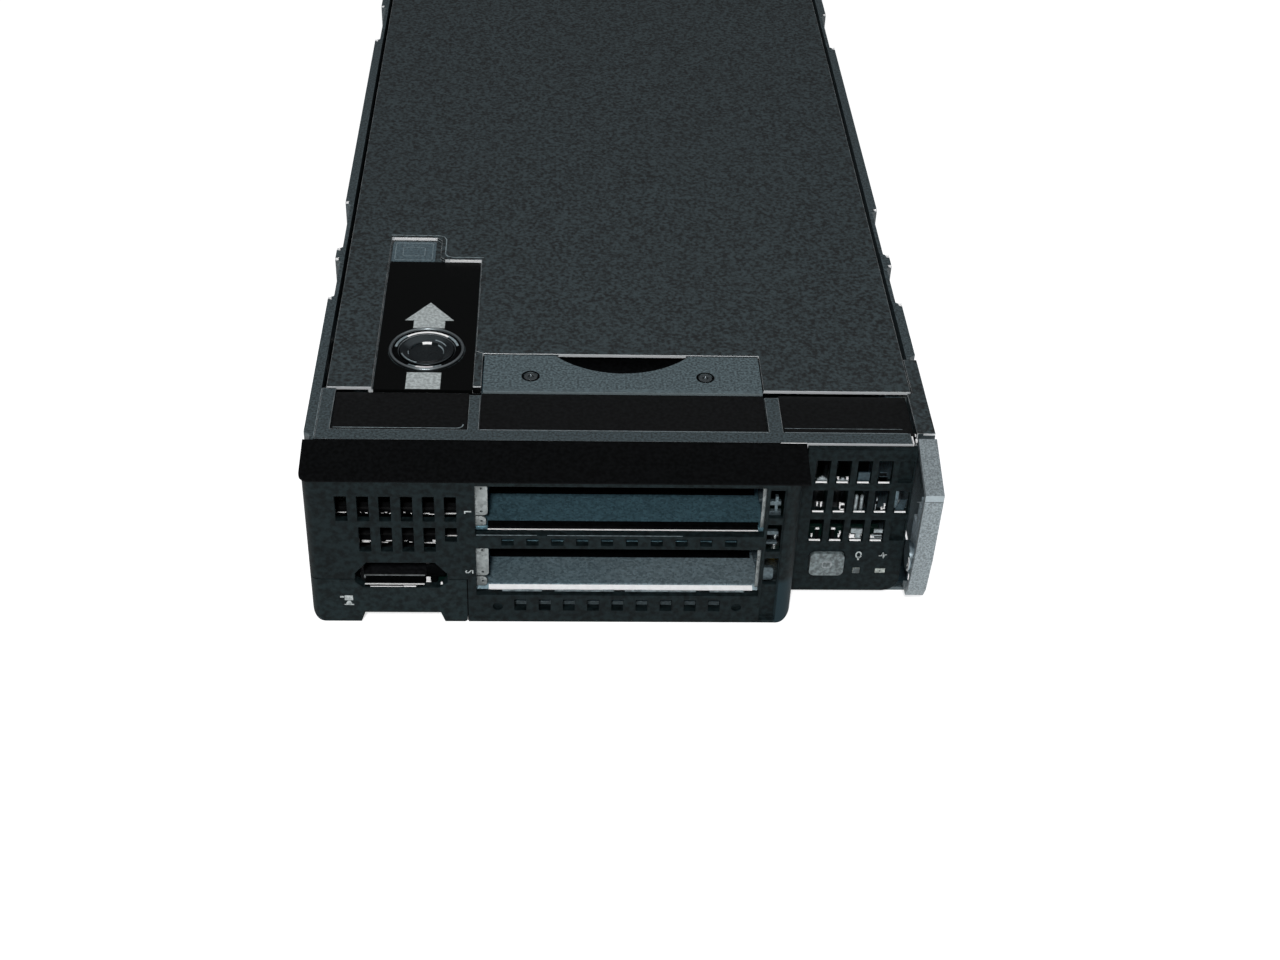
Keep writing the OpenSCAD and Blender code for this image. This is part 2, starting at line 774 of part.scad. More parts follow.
module front_bezel() {
    inner_top = bezel_top - bezel_wall;
    blind = 1.2;
    dimple_x = 35;
    dimple_z = (bay_low_z + 0.3) / 2;
    color("#23282b") difference() {
        intersection() {
            upright(0, bezel_d) bezel_outline();
            flat(-cut, bezel_top + cut) bezel_plan();
        }
        // hollow behind the face, open to the rear and over the pull tab
        block([bezel_left + bezel_wall, bezel_wall, -cut], [tab_right + edge_gap, bezel_d + cut, inner_top]);
        block([tab_right + edge_gap + bezel_wall, bezel_wall, bezel_wall],
            [bezel_right - bezel_wall, bezel_d + cut, inner_top]);
        // room of the drive cage
        block([bay_left - cage_t - edge_gap, cage_front - edge_gap, cage_low - edge_gap],
            [bay_right + cage_t + edge_gap, bezel_d + cut, bezel_top + cut]);
        upright(-cut, bezel_d) {
            for (z = bay_floors) rect([bay_left, z - bay_sill], [bay_right, z + bay_h]);
            port_outline();
            left_vents();
        }
        upright(-cut, bezel_wall + cut) {
            bar_slots(mid_slots, mid_slot_z, mid_slot_h);
            bar_slots(low_slots, low_slot_z, low_slot_h);
            for (i = [1 : strip_windows - 1])
                translate([strip_x, strip_foot + i * strip_pitch]) square([strip_w, strip_h]);
        }
        // shallow trough of the upright strip, its blind window and two dimples
        upright(-cut, 0.8)
            rect([strip_x - 0.3, strip_foot - 0.8], [strip_x + strip_w + 0.4, bezel_top - 1.2]);
        upright(-cut, blind) {
            translate([strip_x, strip_foot]) square([strip_w, strip_h]);
            for (side = [-1, 1]) translate([bay_x + side * dimple_x, dimple_z]) circle(d = 3);
        }
    }
}

// Two bars across the bezel's hollow, behind the left vents
module vent_rails() {
    front = 7;
    size = [2.4, 0.9];
    color("#1a1d1f") for (z = [vent_row_z - 1.4, vent_row_z - vent_row_step + 0.1])
        block([bezel_left + bezel_wall, front, z],
            [tab_right + edge_gap, front + size.x, z + size.y]);
}

// Sloped black band between the bezel's face and the bridge
module top_band() {
    band_right = bezel_right + 1.8;
    color("#121416") intersection() {
        sideways(-case_hw, band_right) polygon([[0, bezel_top], [0, bezel_top + 0.4],
            [bezel_d, case_h], [bezel_d, case_h - 1.2], [4, bezel_top]]);
        flat(0, case_h + cut) soft_rect([-case_hw, 0], [band_right, bezel_d],
            [corner_left_r, 0, 0, 0]);
    }
}

// ---------- right panel ----------

panel_left = bezel_right + edge_gap;
panel_right = lever_in - panel_gap;
panel_top = case_h - 0.4;
pvent_x = panel_left + 4.4;
pvent_z = 21.6;
pvent_columns = floor((panel_right - pvent_x - pvent_w) / pvent_pitch) + 1;
pvent_rows = floor((panel_top - 3.6 - pvent_z - pvent_h) / pvent_rise) + 1;
power_z = 12.9;
led_z = 9.9;

// The button and the two lights share out the panel's width
function along_panel(share) = panel_left + share * (panel_right - panel_left);
power_x = along_panel(0.325);
led_one = [along_panel(0.602), 2, 2];
led_two = [along_panel(0.819), 3, 1.6];

module led_hole(led, grow) {
    translate([led[0], led_z]) square([led[1] + grow, led[2] + grow], center = true);
}

module right_panel() {
    blind = 1.2;
    sill_h = 0.6;
    sill_proud = 0.5;
    full = pvent_columns - 1;
    mid_row = floor(pvent_rows / 2);
    color("#25292c") upright(panel_y - sill_proud, panel_y + cut)
        for (i = [0 : full]) for (j = [0 : pvent_rows - 1]) if (i < full || j == mid_row)
            translate([pvent_x + i * pvent_pitch, pvent_z + j * pvent_rise - sill_h])
                square([pvent_w, sill_h]);
    color("#25292c") difference() {
        upright(panel_y, panel_y + panel_t) difference() {
            soft_rect([panel_left, panel_foot], [panel_right, panel_top], [0, 5, 0, 0]);
            rect([panel_left - cut, case_h - 2.4], [bezel_right + 2.1, panel_top + cut]);
            for (i = [0 : full]) for (j = [0 : pvent_rows - 1]) if (i < full || j == mid_row)
                translate([pvent_x + i * pvent_pitch, pvent_z + j * pvent_rise])
                    square([pvent_w, pvent_h]);
            translate([power_x, power_z]) soft_rect([-power_w / 2, -power_h / 2],
                [power_w / 2, power_h / 2], [2, 2, 2, 2]);
            led_hole(led_one, 2 * joint_gap);
            led_hole(led_two, 2 * joint_gap);
        }
        upright(panel_y - cut, panel_y + blind) for (j = [0 : pvent_rows - 1]) if (j != mid_row)
            translate([pvent_x + full * pvent_pitch, pvent_z + j * pvent_rise])
                square([pvent_w, pvent_h]);
    }
}

// Power button: a cap through the panel, a wider flange behind it and a stem
module power_button() {
    proud = 0.9;
    flange_y = panel_y + panel_t + slide_gap;
    cap = [power_w - 2 * edge_gap, power_h - 2 * edge_gap] / 2;
    color("#8b9194") {
        upright(panel_y - proud, flange_y + cut) translate([power_x, power_z])
            soft_rect(-cap, cap, [1.7, 1.7, 1.7, 1.7]);
        upright(flange_y, flange_y + 1) translate([power_x, power_z])
            rect(-cap - [1.2, 1.2], cap + [1.2, 1.2]);
        translate([power_x, flange_y + 2.4, power_z]) rotate([90, 0, 0]) cylinder(h = 2, r = 1.5);
    }
}

// Switch board behind the power button, standing on the pan's floor
module power_switch() {
    y = panel_y + panel_t + slide_gap + 2.4 + power_travel + 0.3;
    color("#2f5a45") {
        block([power_x - 7, y + 2, sheet_t],
            [bracket_in - bracket_t - 2.1, y + 2 + board_t, power_z + 7]);
        block([power_x - 3, y, power_z - 3], [power_x + 3, y + 2 + cut, power_z + 3]);
    }
}

module light_pipes() {
    back = panel_y + panel_t;
    color("#cfd6c8") {
        upright(panel_y, back + cut) {
            led_hole(led_one, 0);
            led_hole(led_two, 0);
        }
        upright(back, back + 1.2) rect([led_one[0] - 1.6, led_z - 1.6], [led_two[0] + 1.4, led_z + 1.6]);
    }
}

// ---------- pull tab and service connector ----------

tab_lip = 3;
tab_card = tab_travel + tab_hold;
card_t = 1.2;
card_z = tab_notch + 0.7;
card_mid = (bezel_left + tab_right) / 2;
tab_card_w = tab_right - bezel_left - 2 * tab_card_margin;
tray_wall = 1.4;
tray_top = 9;
tray_hw = tab_card_w / 2 + edge_gap;
service_l = 56;

module pull_tab() {
    notch_hw = 11;
    slant = 1.4;
    color("#23282b") {
        difference() {
            intersection() {
                upright(0, tab_lip) soft_rect([bezel_left, 0], [tab_right, tab_h], [foot_r, 1, 0, 0]);
                flat(-cut, tab_h + cut) soft_rect([bezel_left, 0], [tab_right, bezel_d],
                    [corner_left_r, 0, 0, 0]);
            }
            upright(-cut, tab_lip + cut) {
                port_outline();
                polygon([[port_mid - notch_hw - slant, -cut], [port_mid - notch_hw, tab_notch],
                    [port_mid + notch_hw, tab_notch], [port_mid + notch_hw + slant, -cut]]);
            }
        }
        block([card_mid - tab_card_w / 2, tab_lip - cut, card_z],
            [card_mid + tab_card_w / 2, tab_lip + tab_card, card_z + card_t]);
    }
}
port_mid = port_right - port_w / 2;

// Tray that the card slides in; its walls carry the service board
module tab_guide() {
    front = tab_lip + edge_gap;
    rear = tab_lip + tab_card + 12;
    lip = 2.5;
    color("#3a4044") {
        block([card_mid - tray_hw - tray_wall, front, sheet_t],
            [card_mid + tray_hw + tray_wall, rear, card_z - slide_gap]);
        // stop behind the right end of the tab, as far as the wall of the bezel
        block([card_mid + tray_hw, front, sheet_t], [tab_right + edge_gap, front + 1, port_low - 0.5]);
        for (side = [0, 1]) {
            x = side == 0 ? card_mid - tray_hw - tray_wall : card_mid + tray_hw;
            lip_x = side == 0 ? x : x - lip;
            block([x, front, sheet_t], [x + tray_wall, rear, tray_top]);
            block([lip_x, front, card_z + card_t + slide_gap],
                [lip_x + tray_wall + lip, rear, card_z + card_t + slide_gap + 1]);
        }
    }
}

module service_board() {
    color("#2f5a45") block([card_mid - tray_hw - tray_wall, tab_lip + 2, tray_top],
        [card_mid + tray_hw + tray_wall, tab_lip + 2 + service_l, tray_top + board_t]);
}

mouth_low = port_low + 0.2;
mouth_h = 5;

service_x = port_mid - 2.2;
service_hw = 10;
service_y = tab_lip + 2;
service_wall = 0.9;
lip_t = 0.8;

module service_connector() {
    deep = 16;
    color("#1d2022") difference() {
        block([service_x - service_hw, service_y, tray_top + board_t],
            [service_x + service_hw, service_y + deep, mouth_low + mouth_h + service_wall]);
        block([service_x - service_hw + service_wall, service_y - cut, mouth_low],
            [service_x + service_hw - service_wall, service_y + deep - 4, mouth_low + mouth_h]);
        block([service_x - service_hw + service_wall, service_y - cut, mouth_low - lip_t],
            [service_x + service_hw - service_wall, service_y + 0.6, mouth_low + cut]);
    }
}

// Metal lip on the floor of the connector's mouth, its plate and a jack post at each end
module service_shell() {
    plate_y = service_y + 3;
    plate_t = 0.8;
    post_x = service_hw + 1.3;
    post_z = mouth_low + mouth_h / 2;
    post_r = 0.9;
    nut_r = 1.25;
    color("#a9b0b3") {
        block([service_x - service_hw + service_wall, service_y - 0.3, mouth_low - lip_t],
            [service_x + service_hw - service_wall, service_y + 0.6, mouth_low]);
        for (side = [-1, 1]) translate([service_x + side * post_x, 0, 0]) {
            block([-nut_r, plate_y, tray_top + board_t], [nut_r, plate_y + plate_t, post_z + nut_r]);
            translate([0, plate_y + cut, post_z]) rotate([90, 0, 0]) {
                cylinder(h = 3.2, r = post_r);
                cylinder(h = 1.6, r = nut_r, $fn = 6);
            }
        }
    }
}

// ---------- release lever ----------

lever_nose_z = case_h - lever_drop;
arm_t = 1.5;
pivot_x = case_hw - 4;
barrel_r = 3.6;
lever_arm_top = case_h - 4.9;
bracket_in = pivot_x - 5.15;
bracket_t = 1.2;
bracket_top = lever_arm_top - 0.4;
barrel_low = 12;
barrel_top = bracket_top - bracket_t - slide_gap;
skin_back = 17.5;
foot_back = 9;
nose_flat = 2.2;

// Outline of the lever's skin, set in by g
function lever_face(g) = let (slope = (case_h - lever_nose_z) / (skin_back + lever_proud),
        drop = g * sqrt(1 + slope * slope)) [
    [skin_back, case_h - drop],
    [-lever_proud + g, lever_nose_z + g * slope - drop],
    [-lever_proud + g, lever_nose_z - nose_flat],
    [-lever_proud + 1.2 + g, lever_nose_z / 2],
    [-lever_proud + 3.4 + g, lever_foot + 4],
    [-lever_proud + 5.6 + 0.7 * g, lever_foot + 0.7 * g],
    [foot_back, lever_foot + g]];

module release_lever() {
    outer = lever_face(0);
    inner = lever_face(lever_t);
    color("#8d9699") difference() {
        union() {
            sideways(lever_in, case_hw) difference() {
                polygon(concat(outer, [[foot_back, lever_arm_top], [skin_back, lever_arm_top]]));
                polygon(concat([[skin_back + cut, inner[0].y]], [for (i = [1 : 5]) inner[i]],
                    [[skin_back + cut, inner[6].y]]));
            }
            sideways(case_hw - arm_t, case_hw) polygon(concat(outer,
                [[pivot_y + tail, barrel_low + 1], [pivot_y + tail, barrel_top],
                    [pivot_y - 8, barrel_top], [pivot_y - 10, lever_arm_top],
                    [skin_back, lever_arm_top]]));
            translate([pivot_x, pivot_y, barrel_low])
                cylinder(h = barrel_top - barrel_low, r = barrel_r);
        }
        translate([pivot_x, pivot_y, 0]) cylinder(h = case_h, r = pin_r + run_gap);
    }
}

// Channel of plated sheet steel that carries the pivot
module lever_bracket() {
    floor_z = sheet_t;
    front = panel_y + panel_t + 0.6;
    color("#a4abad") difference() {
        union() {
            block([bracket_in - bracket_t, front, floor_z], [bracket_in, channel_rear, bridge_low]);
            block([bracket_in - cut, pivot_y - 6, floor_z],
                [wall_out - 1, channel_rear, floor_z + bracket_t]);
            block([bracket_in - cut, pivot_y - 6, bracket_top - bracket_t],
                [wall_out - 1, channel_rear, bracket_top]);
        }
        block([bracket_in - 2 * bracket_t, hood_front - 1, bracket_top],
            [bracket_in + cut, channel_rear + cut, case_h]);
        translate([pivot_x, pivot_y, 0]) cylinder(h = case_h, r = pin_r + run_gap);
    }
}

module lever_pin() {
    color("#c8ccce") translate([pivot_x, pivot_y, sheet_t]) {
        cylinder(h = bracket_top - sheet_t, r = pin_r);
        translate([0, 0, bracket_top - sheet_t]) cylinder(h = 0.5, r = pin_r + 0.8);
    }
}

module lever_spring() {
    wire = 0.4;
    base = sheet_t + bracket_t + 0.1;
    color("#b5b9bb") translate([pivot_x, pivot_y, base])
        coil(pin_r + 1.1, wire, barrel_low - base - 0.2, 5);
}

// Stepped plate in the lever's hollow, with the round latch button in it
latch_y = 7.5;
latch_z = 20;
latch_r = 4.7;
latch_x = lever_in + 1.2;
latch_t = 1;
latch_travel = 0.6;

module latch_plate() {
    color("#a4abad") difference() {
        union() {
            sideways(latch_x, latch_x + latch_t) polygon([[2.8, 42], [7.6, 42], [7.6, 38.5],
                [9.4, 38.5], [9.4, 31], [13.2, 31], [13.2, 14], [10, 12], [5.2, 12], [2.8, 26]]);
            block([latch_x, 12.2, 18], [case_hw - arm_t, 13.2, 28]);
        }
        translate([0, latch_y, latch_z]) rotate([0, 90, 0])
            cylinder(h = case_hw, r = latch_r - 0.9);
        block([latch_x - cut, 6, 38.5], [latch_x + latch_t + cut, 7, 40]);
    }
}

module latch_button() {
    head_t = 0.9;
    head_back = latch_x - latch_travel - joint_gap;
    stem_end = case_hw - arm_t - slide_gap - latch_travel;
    color("#d3d6d7") translate([0, latch_y, latch_z]) rotate([0, 90, 0]) {
        translate([0, 0, head_back - head_t]) cylinder(h = head_t, r = latch_r);
        translate([0, 0, head_back - head_t]) cylinder(h = stem_end - head_back + head_t,
            r = latch_r - 0.9 - run_gap);
    }
}

// ---------- system board ----------

board_hw = wall_in - board_margin;
board_z = sheet_t + standoff_h;
board_top = board_z + board_t;
board_rear = pan_back - board_rear_gap;
dimm_slot_l = dimm_l + 2 * slot_end;
bank_front = board_front + 10;
bank_mid = [bank_front + dimm_slot_l / 2, bank_front + 1.5 * dimm_slot_l + bank_gap];
socket_front = back_y - 32;
board_screw_x = [-board_hw + 5, 0, board_hw - 5];
wing = [bay_right + cage_t + 3, bracket_in - bracket_t - 1];
wing_front = 26;
wing_spots = [for (y = [wing_front + 4, wing_front + 52]) for (x = [wing[0] + 4, wing[1] - 4]) [x, y]];
board_screw_y = [board_front + 5, bank_front + dimm_slot_l + bank_gap / 2, socket_front - 6];
screw_r = 1.5;

module at_board_screws() {
    for (x = board_screw_x) for (y = board_screw_y) translate([x, y, 0]) children();
    for (spot = wing_spots) translate([spot.x, spot.y, 0]) children();
}

module at_banks() {
    for (y = bank_mid) translate([0, y, board_top]) children();
}

module system_board() {
    notch = [14, 10];
    color("#27503c") flat(board_z, board_top) difference() {
        union() {
            rect([-board_hw, board_front], [board_hw, board_rear]);
            rect([wing[0], wing_front], [wing[1], board_front + cut]);
        }
        for (side = [-1, 1])
            translate([side * board_hw - notch.x / 2, board_rear - notch.y]) square(notch + [0, cut]);
        at_board_screws() circle(r = screw_r + joint_gap);
    }
}

module standoffs() {
    color("#b9a86a") at_board_screws() translate([0, 0, sheet_t]) cylinder(h = standoff_h, r = 3);
}

module board_screws() {
    color("#c8ccce") at_board_screws() {
        translate([0, 0, board_z]) cylinder(h = board_t + cut, r = screw_r);
        translate([0, 0, board_top]) screw_head(5.6, 2);
    }
}

// Processor in its socket: a frame, and the metal lid that stands in it
module cpu_sockets() {
    lid = socket_w - 14;
    color("#6c7276") at_banks() difference() {
        translate([-socket_w / 2, -socket_w / 2, 0]) cube([socket_w, socket_w, socket_h]);
        translate([0, 0, socket_h - 0.8]) difference() {
            translate([-lid / 2 - 2, -lid / 2 - 2, 0]) cube([lid + 4, lid + 4, socket_h]);
            translate([-lid / 2, -lid / 2, -cut]) cube([lid, lid, socket_h]);
        }
    }
}

sink_base = 3.5;
sink_screw_inset = 7;

module at_sink_screws() {
    for (sx = [-1, 1]) for (sy = [-1, 1])
        translate([sx * (sink_w / 2 - sink_screw_inset), sy * (sink_l / 2 - sink_screw_inset), 0])
            children();
}

module fin_comb(width, base, height, pitch, thick) {
    count = floor((width - thick) / pitch);
    start = -(count * pitch + thick) / 2;
    rect([-width / 2, 0], [width / 2, base]);
    for (i = [0 : count]) rect([start + i * pitch, base / 2], [start + i * pitch + thick, height]);
}

module heatsinks() {
    color("#b4babd") at_banks() translate([0, 0, socket_h]) difference() {
        upright(-sink_l / 2, sink_l / 2) fin_comb(sink_w, sink_base, sink_h - socket_h, fin_pitch, fin_t);
        at_sink_screws() {
            translate([0, 0, sink_base]) cylinder(h = sink_h, r = 5);
            translate([0, 0, -cut]) cylinder(h = sink_base + 2 * cut, r = 2.4);
        }
    }
}

module heatsink_screws() {
    color("#c8ccce") at_banks() at_sink_screws() {
        cylinder(h = socket_h + sink_base + cut, r = 2);
        translate([0, 0, socket_h + sink_base]) screw_head(8, 5);
    }
}

// ---------- memory ----------

slot_inner = sink_w / 2 + 7;
slot_hw = 3.2;
slot_count = floor((board_hw - slot_inner - slot_hw) / dimm_pitch) + 1;
cheek_t = 0.8;
cheek_h = 5;
latch_w = 4;
latch_foot_r = 1.6;
latch_pin_r = 0.7;
latch_pivot_z = dimm_slot_h + 2.2;
latch_pivot_y = dimm_slot_l / 2 - 1.6;
tower_l = 3.8;
module_seat = 2.4;

module at_slots(y) {
    for (side = [-1, 1]) for (i = [0 : slot_count - 1])
        translate([side * (slot_inner + i * dimm_pitch), y, board_top]) children();
}

module memory_slot() {
    end = dimm_slot_l / 2;
    difference() {
        union() {
            translate([-slot_hw, -end, 0]) cube([2 * slot_hw, 2 * end, dimm_slot_h]);
            for (sy = [-1, 1]) for (sx = [-1, 1])
                translate([sx > 0 ? slot_hw - cheek_t : -slot_hw, sy > 0 ? end - tower_l : -end,
                    dimm_slot_h - cut]) cube([cheek_t, tower_l, cheek_h + cut]);
        }
        translate([-dimm_t / 2 - joint_gap, -dimm_l / 2 - joint_gap, module_seat])
            cube([dimm_t + 2 * joint_gap, dimm_l + 2 * joint_gap, dimm_slot_h]);
        for (sy = [-1, 1]) translate([-slot_hw - cut, sy * latch_pivot_y, latch_pivot_z])
            rotate([0, 90, 0]) cylinder(h = 2 * (slot_hw + cut), r = latch_pin_r + run_gap);
    }
}

module memory_slots() {
    color("#15181b") for (y = bank_mid) at_slots(y) memory_slot();
}

// Module board with a row of chips on its outer side
module memory_module() {
    chips = 9;
    chip = [1.1, 10, 12];
    step = (dimm_l - 12) / chips;
    translate([-dimm_t / 2, -dimm_l / 2, module_seat]) cube([dimm_t, dimm_l, dimm_h]);
    for (i = [0 : chips - 1])
        translate([dimm_t / 2 - cut / 2, -dimm_l / 2 + 6 + i * step + (step - chip.y) / 2,
            module_seat + dimm_h - chip.z - 4]) cube(chip + [cut / 2, 0, 0]);
}

// Two modules stand on each side of each processor, in the outer slots
module memory_modules() {
    first = slot_count - 2;
    color("#1f5a3a") for (y = bank_mid) for (side = [-1, 1]) for (i = [first : slot_count - 1])
        translate([side * (slot_inner + i * dimm_pitch), y, board_top]) memory_module();
}

// One ejector latch at the rear end of a slot; it leans out over the slot's end
module ejector() {
    arm_h = 12;
    translate([0, latch_pivot_y, latch_pivot_z]) {
        sideways(-latch_w / 2, latch_w / 2) {
            circle(r = latch_foot_r);
            polygon([[-latch_foot_r, 0], [latch_foot_r, 0], [latch_foot_r - 0.4, arm_h - 2.4],
                [4.6, arm_h - 1.6], [4.6, arm_h], [-latch_foot_r, arm_h]]);
        }
        rotate([0, 90, 0]) translate([0, 0, -slot_hw + 0.2])
            cylinder(h = 2 * slot_hw - 0.4, r = latch_pin_r);
    }
}

module latch_row(y, rear) {
    color("#d9dcd8") at_slots(y) mirror([0, rear ? 0 : 1, 0]) ejector();
}

module latches_a_front() { latch_row(bank_mid[0], false); }
module latches_a_rear() { latch_row(bank_mid[0], true); }
module latches_b_front() { latch_row(bank_mid[1], false); }
module latches_b_rear() { latch_row(bank_mid[1], true); }

// ---------- rear of the board ----------

card_l = 42;
card_rear = socket_front - 3;
zone = card_rear - card_l;
card_z_rear = board_top + 9;
card_spans = [[1 - board_hw, -28], [30, board_hw - 1]];
signal_w = 60;
signal_h = 22;
guide_mid = -16;
guide_z = board_top + 11;
guide_box = 14;
power_plug = [board_hw - 37, 32, 16];

module mezzanine_connectors() {
    size = [30, 8, card_z_rear - board_top];
    color("#191c1e") for (span = card_spans)
        translate([(span[0] + span[1] - size.x) / 2, zone + 8, board_top]) cube(size);
}

module card(span) {
    block([span[0], zone, card_z_rear], [span[1], card_rear, card_z_rear + board_t]);
}

module network_card() {
    fins = 24;
    color("#2c5b8a") {
        card(card_spans[0]);
        translate([(card_spans[0][0] + card_spans[0][1]) / 2, 0, card_z_rear + board_t - cut])
            upright(zone + 12, zone + 12 + fins) fin_comb(fins, 2, 9, 3, 1);
    }
}

module storage_module() {
    chip = [16, 16, 2];
    color("#2c6b4a") {
        card(card_spans[1]);
        for (x = [card_spans[1][0] + 8, card_spans[1][1] - 24])
            translate([x, zone + 16, card_z_rear + board_t - cut]) cube(chip + [0, 0, cut]);
    }
}

module chipset_heatsink() {
    side = 28;
    color("#b4babd") translate([-8, 0, board_top]) upright(zone + 4, zone + 4 + side)
        fin_comb(side, 2.5, 11, 3.1, 1.1);
}

// Blind cap cans and power stages in front of each processor
module capacitors() {
    color("#a3a8aa") for (y = [board_front + 5, bank_front + dimm_slot_l + bank_gap / 2])
        for (i = [0 : 4]) translate([10 + i * 7.5, y, board_top]) cylinder(h = 7, r = 2.6);
    // on the wing beside the drive cage
    color("#a3a8aa") for (i = [0 : 2]) for (row = [0, 1])
        translate([wing[0] + 12 + i * 6.4, wing_front + 22 + row * 15, board_top])
            cylinder(h = 8 + 3 * row, r = 2.4);
}

module chokes() {
    size = [7, 7, 5];
    color("#54595c") for (y = [board_front + 5, bank_front + dimm_slot_l + bank_gap / 2])
        for (i = [0 : 3]) translate([-38 + i * 8.6, y - size.y / 2, board_top]) cube(size);
    color("#54595c") for (i = [0 : 2])
        translate([wing[0] + 8 + i * 9, wing_front + 10, board_top]) cube(size);
}

cell_x = 18;
cell_r = 10;

module at_cell() {
    translate([cell_x, zone + 14, board_top]) children();
}

module cell_holder() {
    color("#202325") at_cell() difference() {
        cylinder(h = 4.2, r = cell_r + 1.5);
        translate([0, 0, 1]) cylinder(h = 5, r = cell_r + joint_gap);
        translate([-4, -cell_r - 3, 2]) cube([8, 6, 4]);
    }
}

module coin_cell() {
    color("#c3c7c8") at_cell() translate([0, 0, 1]) cylinder(h = 3.2, r = cell_r);
}

module usb_socket() {
    size = [14, 16, 7.2];
    wall = 0.8;
    color("#a9b0b3") translate([cell_x - size.x / 2, zone + 28, board_top]) difference() {
        cube(size);
        translate([wall, -cut, wall]) cube([size.x - 2 * wall, size.y - 2, size.z - 2 * wall]);
    }
}

// Rows of contact slots in the rear face
module signal_connector() {
    rows = 10;
    step = (signal_w - 6) / rows;
    color("#1b1e20") difference() {
        block([guide_mid - signal_w / 2, socket_front, board_top],
            [guide_mid + signal_w / 2, back_y, board_top + signal_h]);
        for (i = [0 : rows - 1])
            translate([guide_mid - signal_w / 2 + 3 + (i + 0.3) * step, back_y - 7, board_top + 2.5])
                cube([step * 0.4, 7 + cut, signal_h - 5]);
    }
}

module power_connector() {
    blades = 4;
    step = power_plug.y / blades;
    color("#1b1e20") difference() {
        block([power_plug.x, socket_front, board_top],
            [power_plug.x + power_plug.y, back_y, board_top + power_plug.z]);
        for (i = [0 : blades - 1])
            translate([power_plug.x + (i + 0.35) * step, back_y - 12, board_top + 3])
                cube([step * 0.3, 12 + cut, power_plug.z - 6]);
    }
}

module at_guides() {
    for (side = [-1, 1]) translate([guide_mid + side * guide_gap / 2, 0, 0]) children();
}

// Sockets for the guide pins, with a flared mouth
module guide_sockets() {
    flare = 1.5;
    color("#8b9498") at_guides() difference() {
        block([-guide_box / 2, back_y - guide_depth - 4, board_top],
            [guide_box / 2, back_y, guide_z + guide_box / 2]);
        translate([0, back_y + cut, guide_z]) rotate([90, 0, 0])
            cylinder(h = guide_depth + cut, r = guide_r);
        translate([0, back_y, guide_z]) rotate([90, 0, 0])
            cylinder(h = flare, r1 = guide_r + flare, r2 = guide_r);
    }
}

// Rear wall: a vented band over one wide window that all the rear sockets stand in
module rear_wall() {
    rows = 3;
    first_z = board_top + signal_h + 7;
    columns = floor((2 * hood_hw - 24) / rear_pitch);
    shoulder = hood_hw - hood_t - slide_gap;
    grow = 0.5;
    color("#59646c") upright(pan_back - sheet_t, pan_back) difference() {
        union() {
            rect([-wall_in, sheet_t], [wall_in, hook_z - slide_gap]);
            rect([-shoulder, sheet_t], [shoulder, hood_low - slide_gap]);
        }
        for (j = [0 : rows - 1]) for (i = [0 : columns - 1 - j % 2])
            translate([(i - (columns - 1 - j % 2) / 2) * rear_pitch, first_z + j * rear_pitch * 0.87])
                circle(d = rear_hole_d);
        rect([guide_mid - guide_gap / 2 - guide_box / 2 - grow, 0],
            [power_plug.x + power_plug.y + grow, board_top + signal_h + grow]);
    }
}

module place() {
    translate([0, front_y, 0]) children();
}

place() base_pan();
place() rear_wall();
place() hood();
place() button_rim();
place() hood_button();
place() button_spring();
place() button_cup();
place() front_bridge();
place() bridge_inserts();
place() corner_bracket();
place() cage_tab();
place() cage_screws();
place() cage_sides();
place() cage_decks();
place() bay_springs();
place() drive_backplane();
place() drive_connectors();
place() front_bezel();
place() vent_rails();
place() top_band();
place() right_panel();
place() power_button();
place() power_switch();
place() light_pipes();
place() pull_tab();
place() tab_guide();
place() service_connector();
place() service_shell();
place() service_board();
place() lever_bracket();
place() release_lever();
place() lever_pin();
place() lever_spring();
place() latch_plate();
place() latch_button();
place() system_board();
place() standoffs();
place() board_screws();
place() cpu_sockets();
place() heatsinks();
place() heatsink_screws();
place() memory_slots();
place() memory_modules();
place() latches_a_front();
place() latches_a_rear();
place() latches_b_front();
place() latches_b_rear();
place() chipset_heatsink();
place() storage_module();
place() network_card();
place() mezzanine_connectors();
place() capacitors();
place() chokes();
place() cell_holder();
place() coin_cell();
place() usb_socket();
place() signal_connector();
place() power_connector();
place() guide_sockets();
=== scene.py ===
import json
import math
import random

import bmesh
import bpy
from mathutils import Euler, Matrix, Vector


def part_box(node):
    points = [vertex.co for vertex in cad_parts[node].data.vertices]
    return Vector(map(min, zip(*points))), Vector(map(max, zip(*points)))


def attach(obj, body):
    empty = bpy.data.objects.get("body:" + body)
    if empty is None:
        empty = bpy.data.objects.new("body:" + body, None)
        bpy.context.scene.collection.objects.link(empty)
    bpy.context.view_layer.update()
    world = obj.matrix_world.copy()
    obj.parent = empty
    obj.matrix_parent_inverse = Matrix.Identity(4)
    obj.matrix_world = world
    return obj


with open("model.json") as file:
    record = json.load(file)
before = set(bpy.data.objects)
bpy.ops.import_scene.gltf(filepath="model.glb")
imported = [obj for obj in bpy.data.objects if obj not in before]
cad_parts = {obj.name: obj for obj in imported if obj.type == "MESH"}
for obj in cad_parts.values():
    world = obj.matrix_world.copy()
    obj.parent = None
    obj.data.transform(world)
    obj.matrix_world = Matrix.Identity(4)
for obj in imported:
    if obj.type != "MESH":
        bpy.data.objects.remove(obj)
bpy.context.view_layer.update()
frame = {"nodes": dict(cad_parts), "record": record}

rng = random.Random(7)
MM = 0.001

# ---------- places ----------
# The scene works in the frame's metres. at() takes millimetres, with y counted
# from the face of the front bezel, as the part's own source does.
face_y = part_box("front_bezel")[0][1]


def at(x, y, z):
    return Vector((x * MM, face_y + y * MM, z * MM))


